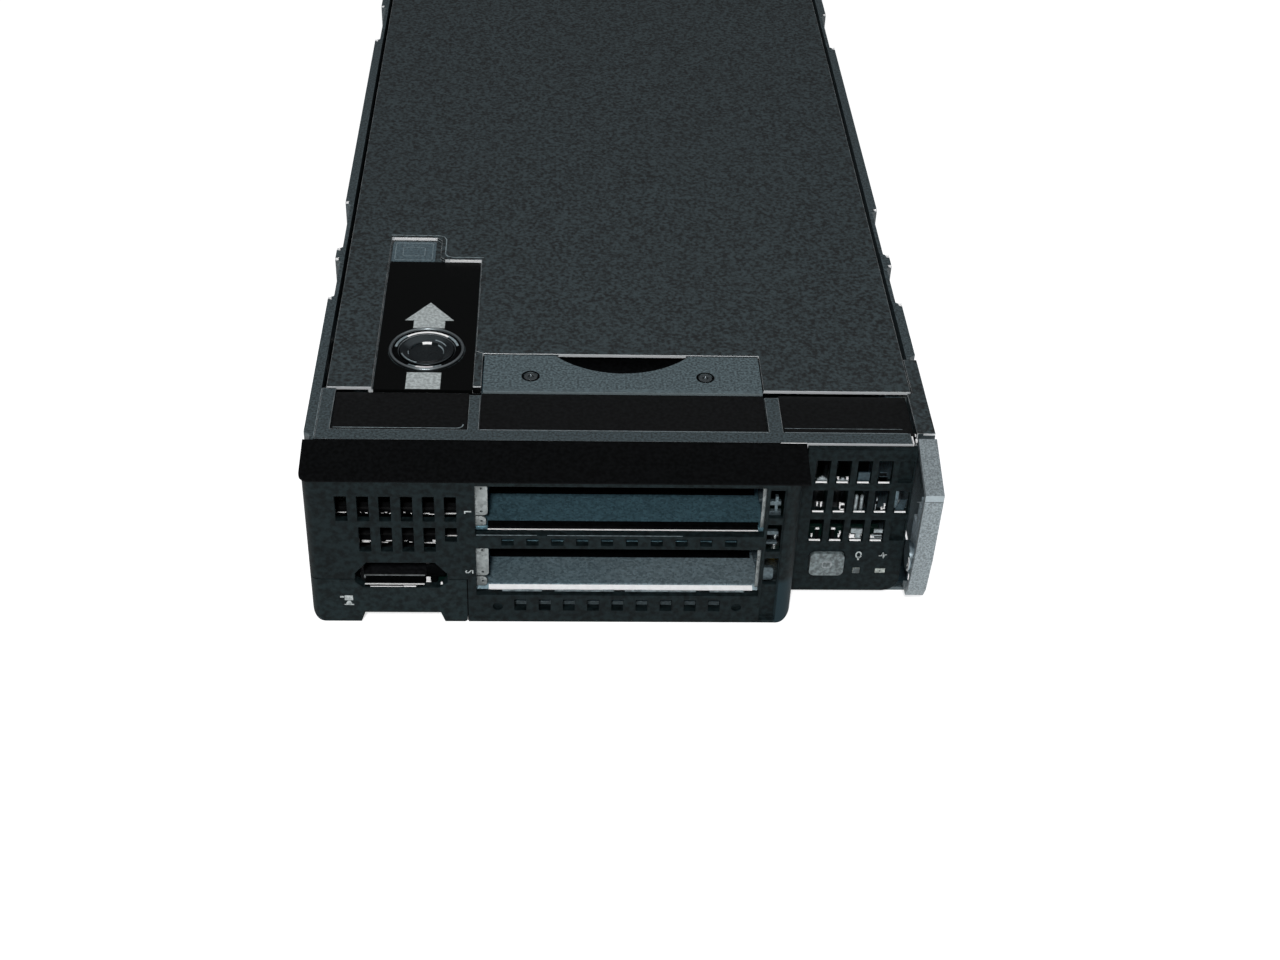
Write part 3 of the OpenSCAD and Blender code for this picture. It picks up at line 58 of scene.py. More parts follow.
def box_mm(node):
    """Lowest and highest corner of a node in millimetres, y from the bezel's face."""
    low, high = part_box(node)
    return [Vector((c[0] / MM, (c[1] - face_y) / MM, c[2] / MM)) for c in (low, high)]


# ---------- shader helpers ----------
def srgb(r, g, b):
    """Linear colour of an 8-bit sRGB colour."""
    def line(c):
        c /= 255
        return c / 12.92 if c <= 0.04045 else ((c + 0.055) / 1.055) ** 2.4
    return (line(r), line(g), line(b), 1.0)


class Shader:
    """A material under construction. An input given as a socket is linked, anything else is set."""

    def __init__(self, name):
        self.material = bpy.data.materials.new(name)
        self.material.use_nodes = True
        self.tree = self.material.node_tree
        self.tree.nodes.clear()
        self.surface = self.add("ShaderNodeBsdfPrincipled")
        output = self.add("ShaderNodeOutputMaterial")
        self.tree.links.new(self.surface.outputs[0], output.inputs[0])
        self.coords = self.add("ShaderNodeTexCoord").outputs["Object"]

    def add(self, kind, inputs=None, **props):
        node = self.tree.nodes.new(kind)
        for key, value in props.items():
            setattr(node, key, value)
        for key, value in (inputs or {}).items():
            self.put(node, key, value)
        return node

    def put(self, node, key, value):
        if isinstance(value, bpy.types.NodeSocket):
            self.tree.links.new(value, node.inputs[key])
        else:
            node.inputs[key].default_value = value

    def set(self, **inputs):
        for key, value in inputs.items():
            self.put(self.surface, key.replace("_", " "), value)
        return self

    def stretched(self, scale):
        """Object coordinates with each axis scaled by itself."""
        return self.add("ShaderNodeVectorMath", {0: self.coords, 1: scale}, operation="MULTIPLY").outputs[0]

    def noise(self, scale, detail=3.0, coords=None, roughness=0.5):
        return self.add("ShaderNodeTexNoise", {"Vector": coords or self.coords, "Scale": scale,
                        "Detail": detail, "Roughness": roughness}).outputs["Fac"]

    def cells(self, scale, coords=None):
        """A grey level for each Voronoi cell."""
        node = self.add("ShaderNodeTexVoronoi", {"Vector": coords or self.coords, "Scale": scale})
        return self.add("ShaderNodeSeparateColor", {0: node.outputs["Color"]}).outputs[0]

    def spread(self, value, low, high, to_low=0.0, to_high=1.0):
        return self.add("ShaderNodeMapRange", {"Value": value, "From Min": low, "From Max": high,
                        "To Min": to_low, "To Max": to_high}).outputs[0]

    def vary(self, noise, to_low=0.0, to_high=1.0):
        """Spreads the usual range of a noise over two values."""
        return self.spread(noise, 0.3, 0.7, to_low, to_high)

    def math(self, operation, a, b=0.0):
        return self.add("ShaderNodeMath", {0: a, 1: b}, operation=operation).outputs[0]

    def mix(self, factor, a, b):
        return self.add("ShaderNodeMix", {0: factor, 6: a, 7: b}, data_type="RGBA").outputs[2]

    def scaled(self, colour, level):
        """A colour times a grey level."""
        if not isinstance(colour, bpy.types.NodeSocket):
            colour = self.add("ShaderNodeCombineColor", {i: colour[i] for i in range(3)}).outputs[0]
        return self.add("ShaderNodeVectorMath", {0: colour, 3: level}, operation="SCALE").outputs[0]

    def bump(self, height, strength, distance, radius=0.25 * MM):
        """Grain on a surface whose sharp edges are rounded by a radius."""
        soft = self.add("ShaderNodeBevel", {"Radius": radius}, samples=4).outputs[0]
        return self.add("ShaderNodeBump", {"Height": height, "Strength": strength,
                        "Distance": distance, "Normal": soft}).outputs[0]

    def normal_part(self, axis):
        """One component of the surface's own normal, in the object's axes."""
        normal = self.add("ShaderNodeTexCoord").outputs["Normal"]
        return self.add("ShaderNodeSeparateXYZ", {0: normal}).outputs[axis]

    def edges(self, radius):
        """1 along sharp edges, 0 on the flats."""
        soft = self.add("ShaderNodeBevel", {"Radius": radius}, samples=4).outputs[0]
        true = self.add("ShaderNodeNewGeometry").outputs["Normal"]
        dot = self.add("ShaderNodeVectorMath", {0: soft, 1: true}, operation="DOT_PRODUCT").outputs["Value"]
        return self.spread(dot, 0.985, 0.80)


def darker(colour, factor):
    return tuple(c * factor for c in colour[:3]) + (1.0,)


# ---------- materials ----------
def sheet_paint(name, colour, bare, grain=1500, rough=0.5, edge=0.35, front_highlight=0.95, contrast=0.65):
    """Fine-grained paint on sheet steel, bare in patches along its sharp edges, as wear and as painted
    highlight; its cut edges that face forward, towards the lamps, get a painted highlight in the bare metal's
    colour.
    """
    s = Shader(name)
    speck = s.noise(grain, 2.0)
    cloud = s.noise(18, 3.0)
    tone = s.mix(s.spread(speck, 0.36, 0.64), darker(colour, 1 - contrast), darker(colour, 1 + contrast))
    tone = s.mix(s.vary(cloud, 0.0, 0.16), tone, darker(colour, 0.6))
    wear_and_highlight = s.math("MULTIPLY", s.edges(0.35 * MM), s.spread(s.noise(260), 0.38, 0.6, 0.25, edge * 2))
    # Faces that look forward take the bare colour as a painted highlight.
    front = s.spread(s.normal_part(1), -0.9, -0.98)
    wear_and_highlight = s.math("MAXIMUM", wear_and_highlight, s.math("MULTIPLY", front, front_highlight))
    s.set(Base_Color=s.mix(wear_and_highlight, tone, bare), Metallic=s.math("MULTIPLY", wear_and_highlight, 0.3),
          Roughness=s.vary(cloud, rough - 0.05, rough + 0.06),
          Normal=s.bump(speck, 0.25, 0.1 * MM))
    return s.material


def moulded(name, colour, rough=0.45, grain=900, gloss=0.4, lift=1.6, sheen=None):
    """Moulded plastic with a fine spark-eroded grain, and its sharp edges painted lighter as a soft painted
    highlight.

    A sheen colour tints the low end on the right, which catches more light than the rest.
    """
    s = Shader(name)
    speck = s.noise(grain, 2.0)
    cloud = s.noise(35, 3.0)
    tone = s.mix(s.spread(speck, 0.35, 0.65), darker(colour, 0.5), darker(colour, 1.5))
    # Painted highlight: the sharp edges are mixed towards a lighter colour.
    tone = s.mix(s.math("MULTIPLY", s.edges(0.3 * MM), 0.6), tone, darker(colour, lift))
    if sheen:
        across, height = (45.6 * MM, 46.4 * MM), (17 * MM, 15 * MM)
        place = s.add("ShaderNodeSeparateXYZ", {0: s.coords})
        corner = s.math("MULTIPLY", s.spread(place.outputs[0], *across), s.spread(place.outputs[2], *height))
        tone = s.mix(corner, tone, sheen)
    s.set(Base_Color=tone, Roughness=s.vary(cloud, rough - 0.06, rough + 0.06),
          Specular_IOR_Level=gloss, Normal=s.bump(speck, 0.2, 0.08 * MM))
    return s.material


def plated_sheet(name, colour, flake=1500, rough=0.36, metallic=0.55, lit_low_colour=None):
    """Zinc-plated sheet steel: small soft flakes of differing grey, with fine rolling lines.

    A lighter colour takes over on the lower sheets, more so towards the right, as painted light.
    """
    s = Shader(name)
    if lit_low_colour:
        # Painted light: the lower sheets, lit more strongly, take the lighter colour.
        height, across = (22 * MM, 20 * MM), (-30 * MM, 50 * MM)
        place = s.add("ShaderNodeSeparateXYZ", {0: s.coords})
        ragged = s.math("ADD", place.outputs[0], s.math("MULTIPLY", s.noise(60), 60 * MM))
        low = s.math("MULTIPLY", s.spread(place.outputs[2], *height), s.spread(ragged, *across, 0.35, 1.0))
        colour = s.mix(low, colour, lit_low_colour)
    flakes = s.cells(flake)
    cloud = s.noise(140, 4.0, roughness=0.7)
    stain = s.noise(45, 3.0)
    lines = s.noise(60, 2.0, s.stretched((40.0, 1.0, 40.0)))
    level = s.spread(flakes, 0.0, 1.0, 0.66, 1.3)
    level = s.math("MULTIPLY", level, s.spread(cloud, 0.35, 0.65, 1.0, 0.8))
    level = s.math("MULTIPLY", level, s.spread(stain, 0.5, 0.7, 1.0, 0.85))
    tone = s.scaled(colour, level)
    s.set(Base_Color=tone, Roughness=s.vary(cloud, rough - 0.04, rough + 0.14),
          Metallic=metallic, Normal=s.bump(lines, 0.08, 0.05 * MM))
    return s.material


def bright_metal(name, colour, rough=0.22, stretch=(1.0, 60.0, 60.0)):
    """Drawn or turned metal with fine lines one way."""
    s = Shader(name)
    lines = s.noise(900, 2.0, s.stretched(stretch))
    cloud = s.noise(90)
    tone = s.mix(s.vary(cloud), darker(colour, 0.8), darker(colour, 1.1))
    s.set(Base_Color=tone, Metallic=1.0, Roughness=s.vary(lines, rough * 0.8, rough * 1.3),
          Normal=s.bump(lines, 0.12, 0.03 * MM))
    return s.material


def grained_silver(name, colour, rough=0.5):
    """Metallic paint with coarse grain, as on the lever; its upright nose facet and its sharp edges are
    painted lighter, as painted highlights.
    """
    s = Shader(name)
    speck = s.noise(1900, 2.0)
    tone = s.mix(s.spread(speck, 0.36, 0.64), darker(colour, 0.68), darker(colour, 1.34))
    # Painted highlight on the nose facet, picked by the way it faces.
    nose = s.math("MULTIPLY", s.spread(s.normal_part(1), -0.95, -0.99),
                  s.spread(s.normal_part(2), -0.04, -0.01))
    tone = s.mix(s.math("MULTIPLY", nose, 0.8), tone, darker(colour, 1.75))
    # Painted highlight along the sharp edges.
    tone = s.mix(s.math("MULTIPLY", s.edges(0.4 * MM), 0.5), tone, darker(colour, 1.5))
    s.set(Base_Color=tone, Metallic=0.35, Roughness=rough, Normal=s.bump(speck, 0.35, 0.12 * MM))
    return s.material


def solder_mask(name, colour):
    """Board lacquer over copper tracks that run across and along the board."""
    s = Shader(name)
    across = s.cells(1.0, s.stretched((420.0, 60.0, 1.0)))
    along = s.cells(1.0, s.stretched((60.0, 420.0, 1.0)))
    field = s.noise(40, 2.0)
    track = s.mix(s.spread(field, 0.46, 0.54), across, along)
    value = s.add("ShaderNodeRGBToBW", {0: track}).outputs[0]
    tone = s.mix(s.spread(value, 0.55, 0.62), colour, darker(colour, 1.55))
    s.set(Base_Color=tone, Roughness=s.vary(s.noise(300), 0.28, 0.42),
          Coat_Weight=0.3, Normal=s.bump(value, 0.15, 0.04 * MM))
    return s.material


BARE = srgb(236, 240, 242)
CASE = srgb(57, 69, 73)
BEZEL = srgb(20, 29, 31)
# The finish of each slot
PAINTS = {
    "hood_paint": sheet_paint("hood_paint", srgb(41, 51, 54), BARE, grain=950, contrast=0.85),
    "case_paint": sheet_paint("case_paint", CASE, BARE),
    "black_plastic": moulded("black_plastic", srgb(13, 14, 15), rough=0.6, gloss=0.12),
    "bezel_plastic": moulded("bezel_plastic", BEZEL, rough=0.55, gloss=0.08, grain=600),
    "button_metal": bright_metal("button_metal", srgb(112, 119, 122), rough=0.2),
    "plated_steel": plated_sheet("plated_steel", srgb(104, 138, 150)),
    "spring_steel": plated_sheet("spring_steel", srgb(154, 161, 161), flake=900, rough=0.42),
    "screw_steel": bright_metal("screw_steel", srgb(200, 205, 206), rough=0.26),
    "lever_silver": grained_silver("lever_silver", srgb(137, 147, 151)),
    "grey_plastic": moulded("grey_plastic", srgb(120, 128, 130), rough=0.35, gloss=0.5, lift=1.3),
    "clear_plastic": moulded("clear_plastic", srgb(170, 178, 172), rough=0.25, gloss=0.5, lift=1.2),
    "circuit_board": solder_mask("circuit_board", srgb(9, 28, 24)),
    "connector_plastic": moulded("connector_plastic", srgb(24, 25, 27), rough=0.4),
    "brass": bright_metal("brass", srgb(196, 168, 96)),
    "bare_aluminium": bright_metal("bare_aluminium", srgb(196, 200, 203), rough=0.34,
                                   stretch=(60.0, 1.0, 60.0)),
    "can_aluminium": bright_metal("can_aluminium", srgb(186, 190, 193), rough=0.28),
    "choke_grey": moulded("choke_grey", srgb(66, 68, 70), rough=0.6),
    "cell_steel": bright_metal("cell_steel", srgb(205, 208, 210), rough=0.18),
    "latch_plastic": moulded("latch_plastic", srgb(205, 208, 203), rough=0.4, lift=1.1),
}

# Nodes whose finish differs from the rest of their slot
OWN_PAINTS = {
    # The tab and the pan take a weaker painted highlight on their cut edges that face forward.
    "cage_tab": sheet_paint("tab_paint", srgb(82, 97, 102), srgb(132, 145, 149), grain=1400, edge=0.2,
                            front_highlight=0.7, contrast=0.6),
    "base_pan": sheet_paint("pan_paint", CASE, srgb(120, 134, 139), front_highlight=0.3),
    "cage_sides": plated_sheet("side_steel", srgb(92, 107, 113)),
    "cage_decks": plated_sheet("deck_steel", srgb(98, 134, 147), lit_low_colour=srgb(160, 180, 188)),
    "front_bezel": moulded("main_bezel", BEZEL, rough=0.55, gloss=0.08, grain=600, sheen=srgb(36, 52, 58)),
    "pull_tab": moulded("pull_tab_plastic", srgb(24, 34, 36), rough=0.55, gloss=0.08, grain=600),
    # The lever's bracket, latch plate and latch button are lighter than the plated steel, as painted light on
    # sides that the lamps barely reach.
    "lever_bracket": plated_sheet("bracket_steel", srgb(165, 192, 204)),
    "latch_plate": plated_sheet("latch_steel", srgb(196, 212, 220)),
    "latch_button": bright_metal("latch_metal", srgb(176, 192, 200), rough=0.3),
    "power_button": moulded("power_plastic", srgb(108, 119, 121), rough=0.35, gloss=0.4, lift=1.2),
    # The sloped top band is darker than the black plastic, as painted shade.
    "top_band": moulded("band_plastic", srgb(8, 9, 10), rough=0.6, gloss=0.04),
    "button_rim": bright_metal("rim_metal", srgb(140, 148, 151), rough=0.3),
    "hood_button": bright_metal("dish_metal", srgb(66, 72, 75), rough=0.24),
    "cage_screws": bright_metal("tab_screw_metal", srgb(120, 127, 130), rough=0.3),
    "service_shell": plated_sheet("shell_steel", srgb(206, 214, 216), flake=900, rough=0.3),
}

for part in frame["record"]["subparts"]:
    slots = frame["nodes"][part["node"]].data.materials
    slots.clear()
    slots.append(OWN_PAINTS.get(part["node"], PAINTS[part["material_slot"]]))


# ---------- materials of the printed and added pieces ----------
def label_film(name, colour):
    """Glossy printed film with a little dust."""
    s = Shader(name)
    dust = s.noise(700, 2.0)
    s.set(Base_Color=s.mix(s.spread(dust, 0.62, 0.75, 0.0, 0.35), colour, darker(colour, 2.2)),
          Roughness=s.vary(s.noise(25), 0.36, 0.46), Specular_IOR_Level=0.05)
    return s.material


def printed(name, colour, grain=1100, depth=0.3):
    """Screen-printed ink whose tone is slightly speckled."""
    s = Shader(name)
    speck = s.spread(s.noise(grain, 2.0), 0.38, 0.62)
    s.set(Base_Color=s.mix(speck, darker(colour, 1 - depth), darker(colour, 1 + depth / 2)), Roughness=0.45)
    return s.material


# Looks of the added pieces: material and slot
FILM = (label_film("label_black", srgb(7, 8, 8)), "black_plastic")
INK = (printed("print_grey", srgb(186, 194, 194)), "grey_plastic")
FAINT_INK = (printed("faint_ring", srgb(146, 154, 157), grain=900), "grey_plastic")
PAPER = (printed("sticker_blue_grey", srgb(80, 98, 106)), "grey_plastic")
PAPER_LINE = (printed("sticker_line", srgb(122, 138, 144), depth=0.2), "grey_plastic")
# White painted highlights and glints on edges and small parts.
SHINE = (printed("painted_highlight", srgb(255, 255, 255), grain=700, depth=0.05), "spring_steel")
# Dimmer painted highlights on edges.
GREY = (printed("dull_painted_highlight", srgb(138, 152, 157), grain=700, depth=0.4), "spring_steel")
# Near-black, used mostly as painted shade in gaps, recesses and behind openings.
DARK = (moulded("shade_black", srgb(7, 8, 9), rough=0.7, gloss=0.03), "black_plastic")
CLIP = (plated_sheet("clip_steel", srgb(150, 160, 163), flake=1100, rough=0.34), "plated_steel")
CLIP_DARK = (plated_sheet("channel_steel", srgb(52, 70, 78)), "plated_steel")
CAP = (printed("light_off", srgb(74, 84, 86), grain=900, depth=0.4), "clear_plastic")
LIT_BEND = (printed("lit_bend", srgb(88, 103, 108), grain=900), "case_paint")
SHADED = (printed("shaded_paint", srgb(52, 62, 66), grain=900), "hood_paint")
LEVER_LINE = (printed("silver_dark_line", srgb(70, 80, 84), grain=900), "lever_silver")
HOOD_PAINT = (PAINTS["hood_paint"], "hood_paint")


# ---------- mesh helpers ----------
AXES = {"x": (1, 2, 0), "y": (0, 2, 1), "z": (0, 1, 2)}


def finish_piece(name, bm, look, body, soft=0.0):
    """Turns a bmesh in millimetres, y from the bezel's face, into a piece that rides on a body.

    look is its material and slot; soft is the radius given to its sharp edges.
    """
    material, slot = look
    if soft:
        sharp = [e for e in bm.edges if len(e.link_faces) == 2 and e.calc_face_angle(0) > 0.6]
        bmesh.ops.bevel(bm, geom=sharp, offset=soft, segments=2, affect="EDGES", clamp_overlap=True)
    bmesh.ops.recalc_face_normals(bm, faces=bm.faces)
    for vert in bm.verts:
        vert.co = at(*vert.co)
    mesh = bpy.data.meshes.new(name)
    bm.to_mesh(mesh)
    bm.free()
    mesh.materials.append(material)
    piece = bpy.data.objects.new(name, mesh)
    bpy.context.scene.collection.objects.link(piece)
    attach(piece, body)


def extrude_into(bm, loops, axis, low, high):
    """Prism of an outline, with holes after it, from low to high along an axis."""
    across, up, along = AXES[axis]
    rims = []
    for level in (low, high):
        edges = []
        for loop in loops:
            verts = []
            for point in loop:
                co = [0.0, 0.0, 0.0]
                co[across], co[up], co[along] = point[0], point[1], level
                verts.append(bm.verts.new(co))
            edges += [bm.edges.new((verts[i - 1], verts[i])) for i in range(len(verts))]
        bmesh.ops.triangle_fill(bm, edges=edges, use_beauty=True)
        rims.append(edges)
    for low_edge, high_edge in zip(*rims):
        a, b = low_edge.verts
        c, d = high_edge.verts
        bm.faces.new((a, b, d, c))


def prism(name, loops, axis, low, high, look, body, soft=0.0):
    """Prism as a piece."""
    bm = bmesh.new()
    extrude_into(bm, loops, axis, low, high)
    finish_piece(name, bm, look, body, soft)


def bars(name, boxes, look, body, soft=0.08):
    """Several small blocks as one piece; each is (low corner, high corner)."""
    bm = bmesh.new()
    for low, high in boxes:
        extrude_into(bm, [rect(low[0], low[1], high[0], high[1])], "z", low[2], high[2])
    finish_piece(name, bm, look, body, soft)


def rect(x0, y0, x1, y1):
    return [(x0, y0), (x1, y0), (x1, y1), (x0, y1)]


def arc(x, y, r, start, end, steps):
    turns = [math.radians(start + (end - start) * i / steps) for i in range(steps + 1)]
    return [(x + r * math.cos(a), y + r * math.sin(a)) for a in turns]


def round_rect(x0, y0, x1, y1, r, steps=4):
    corners = [(x1 - r, y1 - r, 0), (x0 + r, y1 - r, 90), (x0 + r, y0 + r, 180), (x1 - r, y0 + r, 270)]
    return [p for x, y, a in corners for p in arc(x, y, r, a, a + 90, steps)]


def stroke(points, width):
    """Outline of a bent line of a given width."""
    left, right = [], []
    for i, p in enumerate(points):
        a = Vector(points[max(i - 1, 0)])
        b = Vector(points[min(i + 1, len(points) - 1)])
        side = Vector((a.y - b.y, b.x - a.x)).normalized() * width / 2
        left.append(tuple(Vector(p) + side))
        right.append(tuple(Vector(p) - side))
    return left + right[::-1]


def turned(name, profile, place, axis, look, body, steps=16):
    """Surface of revolution; the profile is (radius, height) from the place along the axis."""
    bm = bmesh.new()
    across, up, along = AXES[axis]
    rings = []
    for r, h in profile:
        ring = []
        for i in range(steps):
            a = math.tau * i / steps
            co = list(place)
            co[across] += r * math.cos(a)
            co[up] += r * math.sin(a)
            co[along] += h
            ring.append(bm.verts.new(co))
        rings.append(ring)
    for lower, upper in zip(rings, rings[1:]):
        for i in range(steps):
            bm.faces.new((lower[i - 1], lower[i], upper[i], upper[i - 1]))
    bm.faces.new(rings[0])
    bm.faces.new(rings[-1])
    finish_piece(name, bm, look, body)


def arc_strips(name, place, strips, look, body):
    """Thin conical strips round a place; each is (inner radius, its z, outer radius, its z, start, end)."""
    bm = bmesh.new()
    thick = 0.05
    for r0, z0, r1, z1, start, end in strips:
        steps = max(3, int((end - start) / 8))
        rows = []
        for i in range(steps + 1):
            a = math.radians(start + (end - start) * i / steps)
            ring = ((r0, z0), (r1, z1), (r1, z1 - thick), (r0, z0 - thick))
            rows.append([bm.verts.new((place[0] + r * math.cos(a), place[1] + r * math.sin(a), z))
                         for r, z in ring])
        for a, b in zip(rows, rows[1:]):
            for k in range(4):
                bm.faces.new((a[k], a[(k + 1) % 4], b[(k + 1) % 4], b[k]))
        bm.faces.new(rows[0])
        bm.faces.new(rows[-1])
    finish_piece(name, bm, look, body)


# ---------- label and sticker on the hood ----------
# Height of the hood's top. The label lies in a pocket under it, round the hood button.
TOP = box_mm("hood")[1].z
POCKET = TOP - 1.0
LIFT = 0.02
FILM_TOP, INK_THICK = POCKET + 0.14, 0.03
rim_low, rim_high = box_mm("button_rim")
BUTTON_X, BUTTON_Y = (rim_low.x + rim_high.x) / 2, (rim_low.y + rim_high.y) / 2
GAP = 0.35
LABEL_LEFT, LABEL_RIGHT = BUTTON_X - 14.9 + GAP, BUTTON_X + 14.9 - GAP
LABEL_FRONT, LABEL_REAR = box_mm("hood")[0].y + 0.2, BUTTON_Y + 50.7
STRIP_RIGHT, STRIP_REAR = BUTTON_X + 17.1 - GAP, LABEL_FRONT + 17.6


def make_label():
    """Black film with the opening arrow, folded over the hood's front edge."""
    x, y, left, right, front, rear = BUTTON_X, BUTTON_Y, LABEL_LEFT, LABEL_RIGHT, LABEL_FRONT, LABEL_REAR
    outline = [(left, front), (right, front), (right, STRIP_REAR)]
    outline += arc(right - 1, rear - 1, 1, 0, 90, 4) + arc(left + 1, rear - 1, 1, 90, 180, 4)
    hole = arc(x, y, (rim_high.x - rim_low.x) / 2 + 0.25, 0, 350, 35)
    prism("label_film", [outline, hole], "z", POCKET + LIFT, FILM_TOP, FILM, "hood", 0.03)
    base, wing, head, stem = y + 11.9, y + 16.2, y + 26.4, 4.8
    arrow = [(x - stem, base), (x + stem, base), (x + stem, wing), (x + 7.5, wing), (x - 0.2, head),
             (x - 7.6, wing), (x - stem, wing)]
    tail = rect(x - 5.2, y - 20.5, x + 5.0, y - 12.0)
    for name, shape in (("label_arrow", arrow), ("label_tail", tail)):
        prism(name, [shape], "z", FILM_TOP, FILM_TOP + INK_THICK, INK, "hood")
    fold = ((left, front - 0.24, POCKET - 0.95), (right, front + 0.02, FILM_TOP))
    bars("label_fold", [fold], FILM, "hood", 0.0)


def make_pocket_strip():
    """Painted strip in the wider front of the pocket, beside the label, and painted shade in the gap before
    it.
    """
    left, right, front, low = LABEL_RIGHT, STRIP_RIGHT + 0.3, LABEL_FRONT, POCKET
    gap = ((left + 0.05, front - 0.24, low - 0.95), (right, front + 1.0, low + 0.3))
    bars("strip_gap", [gap], DARK, "hood", 0.0)
    strip = ((left + 0.1, front + 1.0, low + LIFT), (right, STRIP_REAR + 1.0, low + 0.7))
    bars("pocket_strip", [strip], HOOD_PAINT, "hood", 0.0)


def make_sticker():
    """Blank sticker behind the label, with a frame inside a frame."""
    left, right, front = LABEL_LEFT + 0.2, LABEL_LEFT + 14.3, LABEL_REAR + 0.15
    rear = front + 12.4
    prism("hood_sticker", [round_rect(left, front, right, rear, 0.8)], "z", POCKET + LIFT, FILM_TOP, PAPER,
          "hood", 0.03)
    lines, t = [], 0.25
    for inset in (0.9, 3.4):
        x0, x1, y0, y1 = left + inset, right - inset, front + inset, rear - inset
        lines += [(x0, y0, x1, y0 + t), (x0, y1 - t, x1, y1), (x0, y0, x0 + t, y1), (x1 - t, y0, x1, y1)]
    bars("sticker_lines", [((a, b, FILM_TOP), (c, d, FILM_TOP + INK_THICK)) for a, b, c, d in lines],
         PAPER_LINE, "hood", 0.0)


# ---------- marks printed on the front ----------
def print_marks(name, outlines, node, body="chassis"):
    """Ink on the front face of a node."""
    bm = bmesh.new()
    face = box_mm(node)[0].y
    for outline in outlines:
        extrude_into(bm, [outline], "y", face - 0.04, face - 0.005)
    finish_piece(name, bm, INK, body)


def make_numerals():
    """1 and 2 beside the bays, both lying on their side."""
    x, z = -43.6, 41.5
    one = [rect(x - 1.0, z - 0.2, x + 1.0, z + 0.2), rect(x - 1.0, z - 0.75, x - 0.65, z - 0.2)]
    print_marks("numeral_1", one, "front_bezel")
    z = 19.2
    two = [(x + 1.0, z - 0.6), (x + 1.0, z + 0.6), (x + 0.5, z + 0.45), (x - 0.2, z - 0.35),
           (x - 0.75, z - 0.35), (x - 1.0, z + 0.05), (x - 0.7, z + 0.5)]
    print_marks("numeral_2", [stroke(two, 0.34)], "front_bezel")


def make_marks():
    """Plug on the pull tab, and the signs above the two lights."""
    x, z = -79.2, 8.2
    plug = [rect(x - 0.7, z - 0.1, x + 1.7, z + 1.7), rect(x - 2.0, z + 0.9, x - 0.9, z + 1.5),
            [(x - 0.4, z - 1.5), (x + 0.1, z - 0.3), (x + 0.9, z - 0.3), (x + 1.4, z - 1.5)],
            rect(x - 0.9, z - 1.95, x + 1.9, z - 1.6)]
    print_marks("tab_mark", plug, "pull_tab", "pull_tab")
    x, z = 71.1, 15.6
    loop = [(x + 0.7 * (px - x), pz + 0.9) for px, pz in arc(x, z, 1.1, 0, 345, 16)]
    stem = rect(x - 0.25, z - 1.1, x + 0.25, z + 0.2)
    print_marks("light_mark_1", [stroke(loop, 0.42), stem], "right_panel")
    x = 78.3
    z += 0.8
    pulse = [(x - 1.1, z - 0.2), (x - 0.4, z - 0.2), (x, z + 1.1), (x + 0.4, z - 1.2), (x + 0.7, z + 0.2),
             (x + 1.2, z + 0.2)]
    print_marks("light_mark_2", [stroke(pulse, 0.4)], "right_panel")


# ---------- metal seen through the openings of the front ----------
def make_bay_lips():
    """Painted highlights on the front edges of the bays' floors, painted shade on the bend behind the upper
    one, and dull painted glints before the lower one.
    """
    low, high = box_mm("bay_springs")
    left, right = low.x + 3.5, high.x - 1.2
    lip_right = right - 0.3
    lower, upper = 11.5, 34.0
    lip = [(2.5, lower - 1.2), (2.5, lower - 0.9), (3.62, lower - 0.12), (3.72, lower - 0.3),
           (2.75, lower - 1.2)]
    prism("bay_lip_lower", [lip], "x", left, lip_right, SHINE, "chassis")
    edge = ((left, 2.4, upper - 1.0), (lip_right, 2.56, upper - 0.66))
    bars("bay_lip_upper", [edge], SHINE, "chassis", 0.05)
    bend = [(2.5, upper - 0.6), (2.5, upper - 0.2), (3.0, upper + 0.05), (4.0, upper + 0.05),
            (4.0, upper - 0.05), (3.1, upper - 0.05), (2.6, upper - 0.6)]
    prism("bay_bend_upper", [bend], "x", left, lip_right, DARK, "chassis")
    dull_glints = []
    x = left + 4.0
    while x < right - 3:
        run = rng.uniform(2.0, 6.0)
        if rng.random() < 0.6:
            high_edge = lower - rng.uniform(0.95, 1.12)
            dull_glints.append(((x, 1.75, lower - 1.18), (min(x + run, right), 2.35, high_edge)))
        x += run
    bars("lip_dull_glints", dull_glints, GREY, "chassis", 0.05)


def make_bay_shade():
    """Painted shade on the floors of the bays, and a dull painted highlight on the edge of the sill under the
    upper one.
    """
    low, high = box_mm("bay_springs")
    left, right = low.x + 3.5, high.x - 1.2
    lower, upper, thick = 11.5, 34.0, 0.04
    floors = [(17.7, 60, upper), (4.05, 5.3, upper), (15.9, 60, lower)]
    bars("bay_shade", [((left, y0, z), (right, y1, z + thick)) for y0, y1, z in floors], DARK, "chassis", 0.0)
    sill = upper - 1.25
    edge = [((left - 3.2, 0.05, sill), (left + 14, 0.3, upper - 1.16)),
            ((left + 17, 0.05, sill), (right - 22, 0.3, upper - 1.17))]
    bars("sill_edge", edge, GREY, "chassis", 0.0)


